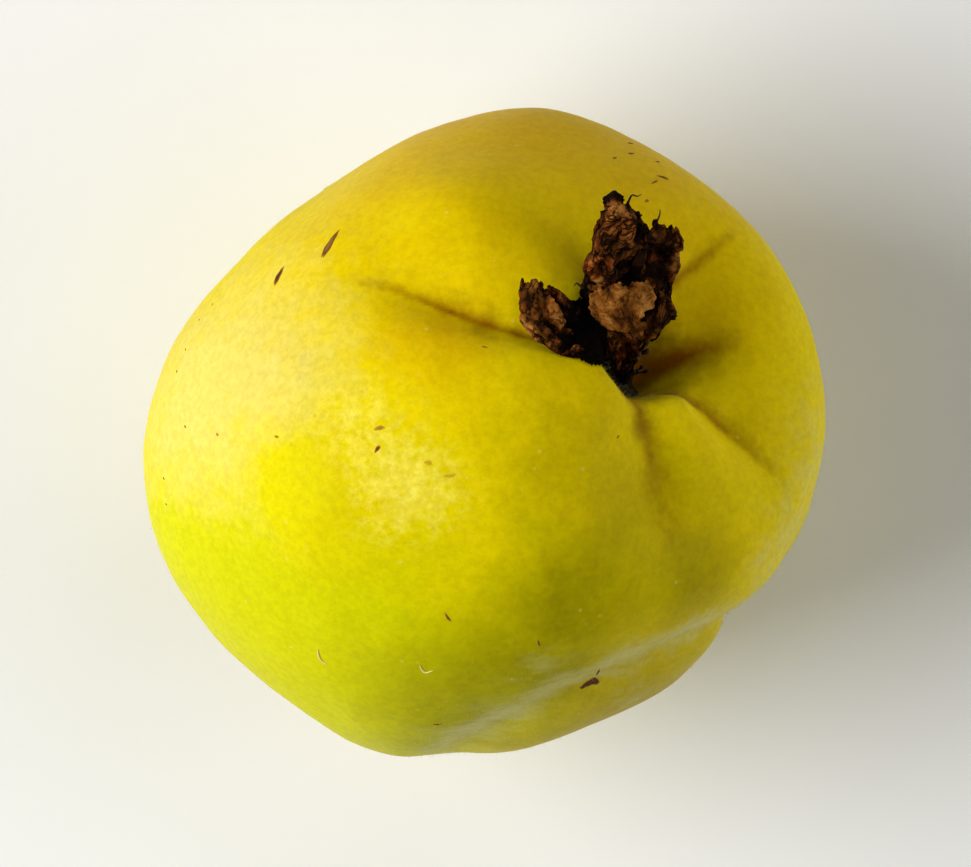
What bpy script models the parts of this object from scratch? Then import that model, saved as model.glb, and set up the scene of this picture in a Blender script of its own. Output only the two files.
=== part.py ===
"""A ripe quince, lying as it settles on a table with its calyx end up. Metres, +Z up.

The origin is the middle of the small flat spot that the fruit rests on. The fruit's own axis
runs from the stem through the core to the calyx, and leans over from the vertical. One body of
flesh and skin carries the dried flower in a basin at one end and the broken stalk at the other.
"""

import math

import bpy
import numpy as np
from mathutils import Matrix

MM = 0.001


def direction(bearing_deg, elevation_deg):
    bearing = math.radians(bearing_deg)
    elevation = math.radians(elevation_deg)
    level = math.cos(elevation)
    return np.array((level * math.cos(bearing), level * math.sin(bearing), math.sin(elevation)))


# How the fruit lies: its axis leans from the vertical, towards a bearing counted from +X to +Y.
LEAN = math.radians(38)
BEARING = math.radians(38)

# The whole fruit.
RADIUS = 34.6 * MM
AXIS_STRETCH = 0.99
FLAT_DEPTH = 1.2 * MM

# Lumps and hollows of the flesh, as it lies: bearing and elevation of the middle in degrees, how
# far it spreads in degrees, and how far it stands out in mm.
LUMPS = (
    (12, 5, 32, 2.1),
    (-36, 0, 12, -1.5),
    (-66, 0, 24, -2.2),
    (-106, 0, 16, 0.9),
    (-168, 5, 30, 2.2),
    (128, 5, 28, -3.1),
    (80, 5, 18, 0.8),
    (52, 5, 22, 0.9),
    (-165, 58, 16, 1.2),
)

# A round knuckle low on one side, set off above by a fold: bearing and elevation of its middle,
# its own reach, the depth and half width of the fold, and between which heights it fades away
# downwards, as shares of the radius.
KNUCKLE = direction(-65, 1)
KNUCKLE_REACH = math.radians(31.5)
FOLD_DEPTH = 1.7 * MM
FOLD_WIDTH = math.radians(4.5)
FOLD_FADE = (-0.35, 0.15)

# The basin round the calyx: a pit, off the axis by PIT_CENTRE, in a broad funnel. Both have a
# tight rim on the near side and open out on the side that the fruit leans to.
PIT_CENTRE = (2.2 * MM, -2.2 * MM)
BASIN_DEPTH = 11.2 * MM
PIT_NEAR = 6.6 * MM
PIT_FAR = 6.0 * MM
FUNNEL_DEPTH_NEAR = 0.8 * MM
FUNNEL_DEPTH_FAR = 7.0 * MM
FUNNEL_NEAR = 9.0 * MM
FUNNEL_FAR = 14.5 * MM

# The stalk end: a cavity, the fleshy knob that stands up in it, and the socket in the knob.
CAVITY_DEPTH = 6.5 * MM
CAVITY_RADIUS = 12.0 * MM
KNOB_HEIGHT = 5.0 * MM
KNOB_RADIUS = 6.8 * MM
SOCKET_DEPTH = 1.2 * MM
SOCKET_RADIUS = 4.4 * MM

# Furrows that run out of the basin: azimuth about the axis where it starts and where it ends, in
# degrees, polar angle where it ends in degrees, depth in mm, and how wide its clockwise and its
# anticlockwise flanks are in mm. CREASE rounds the bottom, START and FADE are where a furrow
# deepens and where it begins to run out, and SIDE keeps it on its own side of the axis.
FURROWS = (
    (188, 122, 62, 3.0, 4.5, 2.6),
    (6, 1, 50, 1.0, 3.0, 3.0),
    (-46, -26, 42, 3.2, 3.0, 4.0),
    (-63, -67, 58, 3.6, 2.6, 5.0),
    (-146, -116, 52, 2.8, 3.0, 4.0),
)
CREASE = 0.15
FURROW_START = (0.02, 0.30)
FURROW_FADE = 0.55
FURROW_SIDE = (0.0, 0.35)

# Where the middle of the fruit passes over into its calyx side or its stalk side, as the cosine
# of the polar angle.
END_BLEND = (-0.2, 0.3)

# The dried sepals. Points that the middle line runs through in mm from the middle of the basin
# floor, as the fruit lies, then the widths along it in mm, the way that the outer face looks, and
# how far the edges roll in as a share of the width.
SEPALS = {
    "sepal_left": (
        ((-2.2, 1.2, 3.0), (-1.8, 2.4, 8.4), (-3.8, 2.4, 13.4), (-6.8, 5.0, 15.6), (-8.5, 9.4, 15.2)),
        (2.0, 2.8, 4.2, 6.2, 5.2),
        (-0.7, -0.2, 0.7),
        0.22,
    ),
    "sepal_back_left": (
        ((-0.6, 3.6, 0.8), (-0.7, 6.4, 5.2), (-0.6, 9.8, 9.2), (0.1, 14.0, 11.8), (0.8, 18.4, 12.8)),
        (2.2, 4.2, 5.8, 6.0, 4.0),
        (0.1, -0.6, 0.8),
        0.3,
    ),
    "sepal_back_right": (
        ((3.3, 2.6, 0.0), (4.7, 5.4, 3.9), (5.3, 8.8, 7.8), (5.4, 12.4, 9.8), (5.5, 16.0, 10.6)),
        (2.2, 3.8, 5.2, 5.6, 4.6),
        (-0.1, -0.6, 0.8),
        0.3,
    ),
    "sepal_front": (
        ((0.4, -2.6, 3.2), (1.2, -0.9, 8.4), (1.6, 1.4, 12.0), (1.7, 5.4, 14.4), (1.4, 9.4, 14.8)),
        (2.0, 2.2, 3.2, 7.4, 7.0),
        (0.0, -0.5, 0.85),
        0.1,
    ),
    "sepal_right": (
        ((4.0, -1.8, 1.0), (5.8, 0.0, 4.1), (7.1, 2.8, 7.4), (7.6, 5.6, 9.6), (7.7, 8.4, 10.6)),
        (2.2, 2.4, 2.8, 3.2, 2.4),
        (0.8, -0.2, 0.6),
        0.4,
    ),
}
SEPAL_THICKNESS = 0.45 * MM
SEPAL_ROWS = 14
SEPAL_COLUMNS = 6
RIB_SHARE = 0.09
RIB_COUNT = 1.5
TIP_START = 0.6
TIP_TEAR = 0.10
TIP_TEETH = 2.3
SLOPE_STEP = 0.01

# What is left of the flower inside the sepals. The disc lines the basin floor, and a ring of
# stamens and the styles stand on it along the fruit's own axis. A profile gives shares of the
# radius and of the height.
PIECE_GAP = 0.3 * MM
MESH_SLACK = 0.15 * MM
DISC_RADIUS = 4.0 * MM
DISC_THICKNESS = 0.5 * MM
TUFT_RADII = (1.5 * MM, 2.1 * MM)
TUFT_SPLAY = 0.3 * MM
TUFT_LOW = 2.2 * MM
TUFT_HIGH = 4.6 * MM
TUFT_POINTS = 12
STYLES_RADIUS = 0.95 * MM
STYLES_HEIGHT = 5.6 * MM
STYLES_COUNT = 5
STYLES_RIB = 0.18
STYLES_PROFILE = ((0.35, 0.94), (0.6, 0.6), (1.0, 0.0))

# The woody stub that is left of the stalk, with its profile from the socket down.
STUB_RADIUS = 2.9 * MM
STUB_LENGTH = 5.4 * MM
STUB_RAGGED = 1.1 * MM
STUB_RIB = 0.04
STUB_HOLLOW = 0.15
STUB_PROFILE = ((0.7, 0.0), (1.0, 0.16), (0.92, 0.5), (0.97, 0.93), (0.72, 1.0))

# Mesh of the flesh: faces round the axis and rings along it, with the rings closest together in
# the basin and at the stalk.
AROUND = 80
RINGS = 54
BASIN_CROWDING = 2.2
BASIN_SPREAD = 0.45
STALK_CROWDING = 1.6
STALK_SPREAD = 0.30


def axis_frame():
    """Turns the fruit's own frame, +Z towards the calyx, into the frame that it lies in."""
    return np.array(Matrix.Rotation(BEARING, 3, "Z") @ Matrix.Rotation(LEAN, 3, "Y"))


def smooth_step(low, high, value):
    share = np.clip((value - low) / (high - low), 0.0, 1.0)
    return share * share * (3.0 - 2.0 * share)


def bump(distance, power=2):
    return np.exp(-(distance**power))


def lumps_at(lying):
    """How much further out than RADIUS the flesh stands, for unit directions as the fruit lies."""
    height = np.zeros(lying.shape[:-1])
    for bearing, elevation, spread, stands_out in LUMPS:
        angle = np.arccos(np.clip(lying @ direction(bearing, elevation), -1.0, 1.0))
        height += stands_out * MM * bump(angle / math.radians(spread))
    angle = np.arccos(np.clip(lying @ KNUCKLE, -1.0, 1.0))
    fold = np.exp(-np.abs(angle - KNUCKLE_REACH) / FOLD_WIDTH)
    return height - FOLD_DEPTH * fold * smooth_step(*FOLD_FADE, lying[..., 2])


def furrows_at(polar, azimuth):
    """How deep the furrows cut, by polar angle from the calyx and azimuth about the axis."""
    depth = np.zeros(polar.shape)
    for start, end, reach, deep, clockwise, anticlockwise in FURROWS:
        reach = math.radians(reach)
        along = np.clip(polar / reach, 0.0, 1.0)
        line = np.radians(end + (start - end) * (1.0 - along) ** 2)
        aside = RADIUS * np.sin(polar) * np.sin(azimuth - line)
        aside /= np.where(aside < 0.0, clockwise, anticlockwise) * MM
        ahead = smooth_step(*FURROW_SIDE, np.cos(azimuth - line))
        fade = 1.0 - smooth_step(FURROW_FADE * reach, reach, polar)
        fade *= smooth_step(*FURROW_START, polar)
        depth += deep * MM * ahead * fade * np.exp(CREASE - np.hypot(aside, CREASE))
    return depth


def basin_at(across):
    """How deep the basin is, for points across the axis in the fruit's own frame."""
    beside = across - np.array(PIT_CENTRE)
    off_pit = np.hypot(beside[..., 0], beside[..., 1])
    far = 0.5 + 0.5 * beside[..., 0] / np.maximum(off_pit, 0.1 * MM)
    pit_radius = PIT_NEAR + (PIT_FAR - PIT_NEAR) * far
    funnel_radius = FUNNEL_NEAR + (FUNNEL_FAR - FUNNEL_NEAR) * far
    funnel_depth = FUNNEL_DEPTH_NEAR + (FUNNEL_DEPTH_FAR - FUNNEL_DEPTH_NEAR) * far
    pit_depth = BASIN_DEPTH - funnel_depth
    return pit_depth * bump(off_pit / pit_radius, 4) + funnel_depth * bump(off_pit / funnel_radius)


def stalk_end_at(across):
    """How far the stalk end is sunk in, for points across the axis in the fruit's own frame."""
    off_axis = np.hypot(across[..., 0], across[..., 1])
    cavity = CAVITY_DEPTH * bump(off_axis / CAVITY_RADIUS)
    knob = KNOB_HEIGHT * bump(off_axis / KNOB_RADIUS, 4)
    return cavity - knob + SOCKET_DEPTH * bump(off_axis / SOCKET_RADIUS, 4)


def direction_across(polar, azimuth):
    level = np.sin(polar)
    return np.stack((level * np.cos(azimuth), level * np.sin(azimuth), np.cos(polar)), axis=-1)


def flesh_point(polar, azimuth):
    """Points of the skin in the fruit's own frame, core at zero, for arrays of the two angles."""
    out = direction_across(polar, azimuth)
    reach = RADIUS + lumps_at(out @ axis_frame().T) - furrows_at(polar, azimuth)
    point = out * reach[..., None]
    point[..., 2] *= AXIS_STRETCH
    across = point[..., :2]
    calyx_side = smooth_step(*END_BLEND, np.cos(polar))
    stalk_side = smooth_step(*END_BLEND, -np.cos(polar))
    point[..., 2] += stalk_side * stalk_end_at(across) - calyx_side * basin_at(across)
    return point


def ring_angles(count):
    fine = np.linspace(0.0, math.pi, 2001)
    crowding = BASIN_CROWDING * bump(fine / BASIN_SPREAD)
    crowding += STALK_CROWDING * bump((math.pi - fine) / STALK_SPREAD)
    share = np.concatenate(([0.0], np.cumsum(1.0 + (crowding[1:] + crowding[:-1]) / 2)))
    return np.interp(np.linspace(0.0, 1.0, count), share / share[-1], fine)


def painted(name, colour, roughness):
    material = bpy.data.materials.new(name)
    material.use_nodes = True
    shader = material.node_tree.nodes["Principled BSDF"]
    shader.inputs["Base Color"].default_value = (*colour, 1.0)
    shader.inputs["Roughness"].default_value = roughness
    shader.inputs["Metallic"].default_value = 0.0
    return material


def mesh_object(name, points, faces, material):
    mesh = bpy.data.meshes.new(name)
    mesh.from_pydata([tuple(point) for point in points], [], faces)
    mesh.update()
    mesh.shade_smooth()
    mesh.materials.append(material)
    made = bpy.data.objects.new(name, mesh)
    bpy.context.scene.collection.objects.link(made)
    return made


def ball_faces(rings, around):
    """Quads between rings of points, with a fan to a single point before and after them."""
    faces = []
    for ring in range(rings - 1):
        low = 1 + ring * around
        for step in range(around):
            after = (step + 1) % around
            faces.append((low + step, low + around + step, low + around + after, low + after))
    low = 1 + (rings - 1) * around
    for step in range(around):
        after = (step + 1) % around
        faces.append((0, 1 + step, 1 + after))
        faces.append((low + step, low + around, low + after))
    return faces


def build_flesh(material):
    """The fruit, set down on its flat spot. Returns where its core comes to lie."""
    rings = ring_angles(RINGS + 2)
    azimuths = np.linspace(0.0, 2.0 * math.pi, AROUND, endpoint=False)
    polar, azimuth = np.meshgrid(rings[1:-1], azimuths, indexing="ij")
    poles = flesh_point(np.array((0.0, math.pi)), np.zeros(2))
    points = np.concatenate((poles[:1], flesh_point(polar, azimuth).reshape(-1, 3), poles[1:]))
    lying = points @ axis_frame().T
    floor = lying[:, 2].min() + FLAT_DEPTH
    pressed = lying[:, 2] <= floor
    lying[:, 2] = np.maximum(lying[:, 2], floor)
    core = -np.array((*lying[pressed].mean(axis=0)[:2], floor))
    mesh_object("fruit_body", lying + core, ball_faces(RINGS, AROUND), material)
    return core


def skin_height(across):
    """How high the skin of the calyx side is along the axis, for points across the axis."""
    off_axis = np.hypot(across[..., 0], across[..., 1])
    azimuth = np.arctan2(across[..., 1], across[..., 0])
    polar = np.arcsin(off_axis / RADIUS)
    for _ in range(8):
        lying = direction_across(polar, azimuth) @ axis_frame().T
        reach = RADIUS + lumps_at(lying) - furrows_at(polar, azimuth)
        polar = np.arcsin(np.clip(off_axis / reach, 0.0, 1.0))
    return flesh_point(polar, azimuth)[..., 2]


def clear_height(across, gap):
    """The lowest height at which a point keeps the gap from the skin, also from a steep wall."""
    heights = [skin_height(across)]
    for azimuth in np.linspace(0.0, 2.0 * math.pi, 8, endpoint=False):
        aside = np.array((math.cos(azimuth), math.sin(azimuth))) * gap
        heights.append(skin_height(across + aside))
    return np.max(heights, axis=0) + gap


def on_disc_height(across, gap=PIECE_GAP):
    """The lowest height that keeps the gap from the disc, or from the skin beyond its edge."""
    off_pit = np.linalg.norm(across - np.array(PIT_CENTRE), axis=-1)
    lift = np.where(off_pit < DISC_RADIUS + gap, DISC_THICKNESS + PIECE_GAP + MESH_SLACK, 0.0)
    return clear_height(across, gap) + lift


def curve(points, share):
    """Points of a smooth curve through the given points."""
    points = np.array(points)
    padded = np.concatenate((2 * points[:1] - points[1:2], points, 2 * points[-1:] - points[-2:-1]))
    place = share * (len(points) - 1)
    start = np.minimum(place.astype(int), len(points) - 2)
    rest = (place - start)[:, None]
    before, first, second, after = (padded[start + step] for step in range(4))
    bend = 2 * before - 5 * first + 4 * second - after
    twist = 3 * first - before - 3 * second + after
    return first + 0.5 * rest * (second - before + rest * (bend + rest * twist))


def unit(vectors):
    return vectors / np.linalg.norm(vectors, axis=-1, keepdims=True)


def build_sepal(name, shape, middle, core, material):
    """A dried sepal as a thin ribbed plate that follows its middle line."""
    line, widths, facing, roll = shape
    across = np.linspace(-1.0, 1.0, SEPAL_COLUMNS + 1)
    share, across = np.meshgrid(np.linspace(0.0, 1.0, SEPAL_ROWS + 1), across, indexing="ij")
    grid = (SEPAL_ROWS + 1, SEPAL_COLUMNS + 1, 3)
    teeth = 0.5 + 0.5 * np.cos(across * math.pi * TIP_TEETH)
    share = (share * (1.0 - TIP_TEAR * teeth * smooth_step(TIP_START, 1.0, share))).reshape(-1)
    across = across.reshape(-1)
    tangent = curve(line, np.minimum(share + SLOPE_STEP, 1.0))
    tangent -= curve(line, np.maximum(share - SLOPE_STEP, 0.0))
    side = unit(np.cross(tangent, facing))
    outward = unit(np.cross(side, tangent))
    half = np.interp(share, np.linspace(0.0, 1.0, len(widths)), widths) / 2 * MM
    rise = half * (RIB_SHARE * np.cos(across * math.pi * RIB_COUNT) - roll * across**2)
    sheet = curve(line, share) * MM + side * (half * across)[:, None] + outward * rise[:, None]
    sheet = ((sheet + middle - core) @ axis_frame()).reshape(grid)
    lift = on_disc_height(sheet[..., :2], PIECE_GAP + SEPAL_THICKNESS / 2) - sheet[..., 2]
    sheet[..., 2] += np.maximum(lift.max(axis=1, keepdims=True), 0.0)
    sheet = sheet @ axis_frame().T + core
    shift = unit(np.cross(np.gradient(sheet, axis=1), np.gradient(sheet, axis=0)))
    points = np.concatenate((sheet + shift * SEPAL_THICKNESS / 2, sheet - shift * SEPAL_THICKNESS / 2))
    faces = plate_faces(SEPAL_ROWS, SEPAL_COLUMNS)
    return mesh_object(name, points.reshape(-1, 3), faces, material)


def plate_faces(rows, columns):
    """The outer face, the inner face and the rim of a plate made of two grids of points."""
    wide = columns + 1
    count = (rows + 1) * wide
    faces = []
    for row in range(rows):
        for column in range(columns):
            corner = row * wide + column
            outer = (corner, corner + 1, corner + wide + 1, corner + wide)
            faces.append(outer)
            faces.append(tuple(count + index for index in reversed(outer)))
    rim = [column for column in range(columns)]
    rim += [row * wide + columns for row in range(rows)]
    rim += [rows * wide + columns - column for column in range(columns)]
    rim += [(rows - row) * wide for row in range(rows)]
    for first, second in zip(rim, rim[1:] + rim[:1]):
        faces.append((second, first, count + first, count + second))
    return faces


def ring_points(radius, around):
    """Points of a ring round the middle of the basin, across the axis."""
    azimuth = np.linspace(0.0, 2.0 * math.pi, around, endpoint=False)
    return np.stack((radius * np.cos(azimuth), radius * np.sin(azimuth)), axis=-1) + PIT_CENTRE


def raised(across, height):
    return np.concatenate((across, np.broadcast_to(height, across.shape[:1])[:, None]), axis=-1)


def build_disc(core, material):
    around = 28
    lower = [np.array([PIT_CENTRE])]
    lower += [ring_points(share * DISC_RADIUS, around) for share in (0.4, 0.7, 1.0)]
    upper = [raised(ring, clear_height(ring, PIECE_GAP) + DISC_THICKNESS) for ring in lower]
    lower = [raised(ring, clear_height(ring, PIECE_GAP)) for ring in lower]
    points = np.concatenate(upper + lower[::-1])
    mesh_object("calyx_disc", points @ axis_frame().T + core, ball_faces(6, around), material)


def build_tuft(core, material):
    """The stamens, dried together into a jagged ring."""
    around = 4 * TUFT_POINTS
    azimuth = np.linspace(0.0, 2.0 * math.pi, around, endpoint=False)
    spike = 0.5 + 0.5 * np.cos(TUFT_POINTS * azimuth)
    uneven = 0.75 + 0.25 * np.cos(3 * azimuth + 1.0)
    inner, outer = TUFT_RADII
    base = on_disc_height(ring_points(outer, around))
    inner_base = on_disc_height(ring_points(inner, around))
    top = base.max() + TUFT_LOW + (TUFT_HIGH - TUFT_LOW) * spike * uneven
    rings = (
        raised(ring_points(outer, around), base),
        raised(ring_points(outer + TUFT_SPLAY * spike, around), top),
        raised(ring_points(inner + TUFT_SPLAY * spike, around), top),
        raised(ring_points(inner, around), inner_base),
    )
    faces = []
    for ring in range(len(rings)):
        low = ring * around
        high = (ring + 1) % len(rings) * around
        for step in range(around):
            after = (step + 1) % around
            faces.append((low + step, low + after, high + after, high + step))
    mesh_object("stamen_tuft", np.concatenate(rings) @ axis_frame().T + core, faces, material)


def build_styles(core, material):
    """The styles, dried together into one ribbed column."""
    around = 20
    azimuth = np.linspace(0.0, 2.0 * math.pi, around, endpoint=False)
    ribbed = STYLES_RADIUS * (1.0 + STYLES_RIB * np.cos(STYLES_COUNT * azimuth))
    middle = np.array([PIT_CENTRE])
    base = on_disc_height(ring_points(ribbed, around)).max()
    rings = [raised(middle, base + STYLES_HEIGHT)]
    for share, height in STYLES_PROFILE:
        rings.append(raised(ring_points(share * ribbed, around), base + height * STYLES_HEIGHT))
    rings.append(raised(middle, base))
    points = np.concatenate(rings)
    mesh_object("styles", points @ axis_frame().T + core, ball_faces(3, around), material)


def build_stub(core, material):
    """The woody stub, standing in the socket of the knob and broken off ragged."""
    around = 24
    azimuth = np.linspace(0.0, 2.0 * math.pi, around, endpoint=False)
    base = flesh_point(np.array(math.pi), np.array(0.0))[2] - PIECE_GAP - MESH_SLACK
    outline = 1.0 + STUB_RIB * np.cos(7 * azimuth)
    ragged = STUB_RAGGED * np.cos(3 * azimuth + 0.7) ** 2
    rings = [np.array([(0.0, 0.0, base)])]
    for share, down in STUB_PROFILE:
        radius = share * STUB_RADIUS * outline
        height = base - down * STUB_LENGTH - ragged * down**3
        rings.append(np.stack((radius * np.cos(azimuth), radius * np.sin(azimuth), height), axis=-1))
    rings.append(np.array([(0.0, 0.0, base - (1.0 - STUB_HOLLOW) * STUB_LENGTH)]))
    points = np.concatenate(rings)
    mesh_object("stem_stub", points @ axis_frame().T + core, ball_faces(5, around), material)


def main():
    for old in list(bpy.data.objects):
        bpy.data.objects.remove(old)
    skin = painted("quince_skin", (0.80, 0.66, 0.02), 0.5)
    sepal = painted("dried_sepal", (0.16, 0.08, 0.03), 0.85)
    disc = painted("calyx_disc_green", (0.16, 0.17, 0.06), 0.8)
    stamen = painted("dried_stamen", (0.10, 0.055, 0.025), 0.9)
    wood = painted("woody_stalk", (0.17, 0.10, 0.05), 0.9)

    core = build_flesh(skin)
    floor = skin_height(np.array([PIT_CENTRE]))
    middle = raised(np.array([PIT_CENTRE]), floor)[0] @ axis_frame().T + core
    for name, shape in SEPALS.items():
        build_sepal(name, shape, middle, core, sepal)
    build_disc(core, disc)
    build_tuft(core, stamen)
    build_styles(core, stamen)
    build_stub(core, wood)


main()
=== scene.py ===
# A ripe quince on a pale table, seen from straight above. Metres, +Z up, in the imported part's frame.
import math

import bpy
import numpy as np
from mathutils import Matrix, Vector, noise


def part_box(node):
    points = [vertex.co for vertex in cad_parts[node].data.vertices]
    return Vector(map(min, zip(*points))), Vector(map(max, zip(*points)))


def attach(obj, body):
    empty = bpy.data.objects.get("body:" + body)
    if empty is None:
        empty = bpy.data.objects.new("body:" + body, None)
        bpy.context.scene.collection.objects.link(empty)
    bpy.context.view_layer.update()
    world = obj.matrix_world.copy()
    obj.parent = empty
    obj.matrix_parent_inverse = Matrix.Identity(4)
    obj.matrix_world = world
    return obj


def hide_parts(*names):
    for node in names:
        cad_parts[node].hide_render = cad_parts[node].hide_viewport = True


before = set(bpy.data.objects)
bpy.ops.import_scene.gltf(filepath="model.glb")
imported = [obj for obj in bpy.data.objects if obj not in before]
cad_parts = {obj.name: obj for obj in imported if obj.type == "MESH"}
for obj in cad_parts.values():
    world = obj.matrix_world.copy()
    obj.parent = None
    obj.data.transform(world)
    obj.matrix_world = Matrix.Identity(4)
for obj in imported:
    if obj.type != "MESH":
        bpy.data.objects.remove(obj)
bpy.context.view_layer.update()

MM = 0.001


def direction(bearing_deg, elevation_deg):
    bearing = math.radians(bearing_deg)
    elevation = math.radians(elevation_deg)
    level = math.cos(elevation)
    return np.array((level * math.cos(bearing), level * math.sin(bearing), math.sin(elevation)))


# ---------------------------------------------------------------- the fruit's own shape
# How it lies, its size and its lumps are the part's own driving dimensions.
LEAN = math.radians(38)
BEARING = math.radians(38)
RADIUS = 34.6 * MM
AXIS_STRETCH = 0.99
FLAT_DEPTH = 1.2 * MM
# Lumps: bearing and elevation in degrees, spread in degrees, how far out in mm.
LUMPS = (
    (12, 5, 32, 2.1),
    (-36, 0, 12, -1.5),
    (-66, 0, 24, -2.2),
    (-106, 0, 16, 0.9),
    (-168, 5, 30, 2.2),
    (128, 5, 28, -3.1),
    (80, 5, 18, 0.8),
    (52, 5, 22, 0.9),
    (-165, 58, 16, 1.2),
)
# Lesser lumps that the skin has and the part leaves out, in the same manner.
FINE_LUMPS = (
    (97, 44, 13, 1.2),
    (-36, 3, 6, -1.0),
    (-38, -14, 11, -2.2),
    (-20, 3, 9, -0.5),
    (-7, 3, 8, -0.5),
    (35, 5, 12, 0.7),
    (79, 4, 12, 0.5),
    (130, 6, 11, 0.4),
)
KNUCKLE = direction(-65, 1)
KNUCKLE_REACH = math.radians(31.5)
FOLD_DEPTH = 1.7 * MM
FOLD_WIDTH = math.radians(4.0)
# How round the bottom of the fold is at its sharp end and at its soft end, and the bearings in
# degrees between which it turns from one to the other.
FOLD_ROUND = (math.radians(1.6), math.radians(6.0))
FOLD_TURN = (-36, -72)
# How far up the side of the fruit the fold sets in, as the sine of the elevation.
FOLD_FADE = (-0.35, 0.15)
# The crest above the fold: how far from its line, and how wide.
CREST_AWAY = math.radians(2.6)
CREST_WIDTH = math.radians(3.4)
# The basin: a pit, and the funnel that leads into it, each with its radius or its depth on the
# near side and on the far side, where the rim is lower.
PIT_CENTRE = (2.2 * MM, -2.2 * MM)
BASIN_DEPTH = 11.2 * MM
PIT_NEAR = 6.6 * MM
PIT_FAR = 6.0 * MM
FUNNEL_DEPTH_NEAR = 0.8 * MM
FUNNEL_DEPTH_FAR = 7.0 * MM
FUNNEL_NEAR = 9.0 * MM
FUNNEL_FAR = 14.5 * MM
# The lobe on the near side of the basin that is fuller than the rest of its rim: azimuth and
# spread round the pit, how much of the funnel it fills, and how far it narrows the pit.
LOBE_AZIMUTH = math.radians(-106)
LOBE_SPREAD = math.radians(42)
LOBE_FULLNESS = 0.42
LOBE_STANDS_IN = 1.3 * MM
# The stalk end: a cavity, the knob that fills its middle, and the stalk's socket in the knob.
CAVITY_DEPTH = 6.5 * MM
CAVITY_RADIUS = 12.0 * MM
KNOB_HEIGHT = 5.0 * MM
KNOB_RADIUS = 6.8 * MM
SOCKET_DEPTH = 1.2 * MM
SOCKET_RADIUS = 4.4 * MM
# Furrows out of the basin: azimuth at its start and end, polar angle at its end, depth in mm,
# the widths of its clockwise and anticlockwise flanks in mm, how round its bottom is at the
# basin and at its far end, in flank widths, and the polar angle in radians where it sets in.
FURROWS = (
    (182, 126, 61, 2.7, 4.7, 2.7, 0.2, 1.0, 0.3),
    (8, 3, 47, 1.1, 3.0, 3.0, 0.3, 0.9, 0.3),
    (-49, -29, 33, 3.6, 2.8, 3.4, 0.12, 0.9, 0.3),
    (-56, -68, 52, 4.2, 2.8, 5.0, 0.3, 1.4, 0.42),
    (-122, -110, 54, 3.5, 5.0, 5.0, 0.45, 1.1, 0.58),
    (-139, -109, 42, 1.35, 2.6, 3.0, 0.12, 1.4, 0.26),
)
FURROW_START = 0.02
FURROW_FADE = 0.55
FURROW_SIDE = (0.0, 0.35)
END_BLEND = (-0.2, 0.3)
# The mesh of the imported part, which gives where the core lies above the table.
PART_AROUND = 80
PART_RINGS = 54
BASIN_CROWDING = 2.2
BASIN_SPREAD = 0.45
STALK_CROWDING = 1.6
STALK_SPREAD = 0.30
# The skin's own, finer mesh, closest over the whole calyx side.
SKIN_AROUND = 392
SKIN_RINGS = 248
SKIN_CROWDING = 1.6
SKIN_SPREAD = 1.1
# Fine unevenness of the flesh: size across in mm and how far it stands out in mm.
RELIEF = ((11.0, 0.26), (4.6, 0.10), (1.9, 0.035))
# Ribs down the flank of the knob: how wide that flank is as a share of the knob, how far the ribs
# wander, and how much of each is the groove beside it.
RIB_COUNT = 9
RIB_HEIGHT = 0.45 * MM
RIB_FLANK = 0.45
RIB_WANDER = 1.6
RIB_WANDER_SIZE = 7.0 * MM
RIB_GROOVE = 0.6


def axis_frame():
    """Turns the fruit's own frame, +Z towards the calyx, into the frame that it lies in."""
    return np.array(Matrix.Rotation(BEARING, 3, "Z") @ Matrix.Rotation(LEAN, 3, "Y"))


def smooth_step(low, high, value):
    share = np.clip((value - low) / (high - low), 0.0, 1.0)
    return share * share * (3.0 - 2.0 * share)


def bump(distance, power=2):
    """1 in the middle, falling softly to 0; a higher power gives a flat top and a steep flank."""
    return np.exp(-(distance**power))


def noises(places):
    """Smooth noise, about -1 to 1, at each of the places."""
    return np.array([noise.noise(Vector(place)) for place in places])


def lumps_at(lying, lumps=LUMPS + FINE_LUMPS):
    height = np.zeros(lying.shape[:-1])
    for bearing, elevation, spread, stands_out in lumps:
        angle = np.arccos(np.clip(lying @ direction(bearing, elevation), -1.0, 1.0))
        height += stands_out * MM * bump(angle / math.radians(spread))
    return height - FOLD_DEPTH * fold_at(lying)


def fold_at(lying):
    """How much of the fold round the knuckle there is, 0 to 1."""
    angle = np.arccos(np.clip(lying @ KNUCKLE, -1.0, 1.0))
    bearing = np.degrees(np.arctan2(lying[..., 1], lying[..., 0]))
    softer = smooth_step(-FOLD_TURN[0], -FOLD_TURN[1], -bearing)
    bottom = FOLD_ROUND[0] + (FOLD_ROUND[1] - FOLD_ROUND[0]) * softer
    fold = np.exp((bottom - np.hypot(angle - KNUCKLE_REACH, bottom)) / FOLD_WIDTH)
    return fold * smooth_step(*FOLD_FADE, lying[..., 2])


def crest_at(lying):
    """The crest just above the fold, 0 to 1."""
    angle = np.arccos(np.clip(lying @ KNUCKLE, -1.0, 1.0))
    crest = bump((angle - KNUCKLE_REACH - CREST_AWAY) / CREST_WIDTH)
    return crest * smooth_step(*FOLD_FADE, lying[..., 2])


def furrow_at(furrow, polar, azimuth):
    """How far aside of a furrow's line, in flank widths, and how much of it is left there."""
    start, end, reach, _, clockwise, anticlockwise, _, _, sets_in = furrow
    reach = math.radians(reach)
    along = np.clip(polar / reach, 0.0, 1.0)
    line = np.radians(end + (start - end) * (1.0 - along) ** 2)
    aside = RADIUS * np.sin(polar) * np.sin(azimuth - line)
    aside = aside / (np.where(aside < 0.0, clockwise, anticlockwise) * MM)
    left = smooth_step(*FURROW_SIDE, np.cos(azimuth - line))
    left = left * (1.0 - smooth_step(FURROW_FADE * reach, reach, polar))
    return aside, left * smooth_step(FURROW_START, sets_in, polar)


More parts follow.
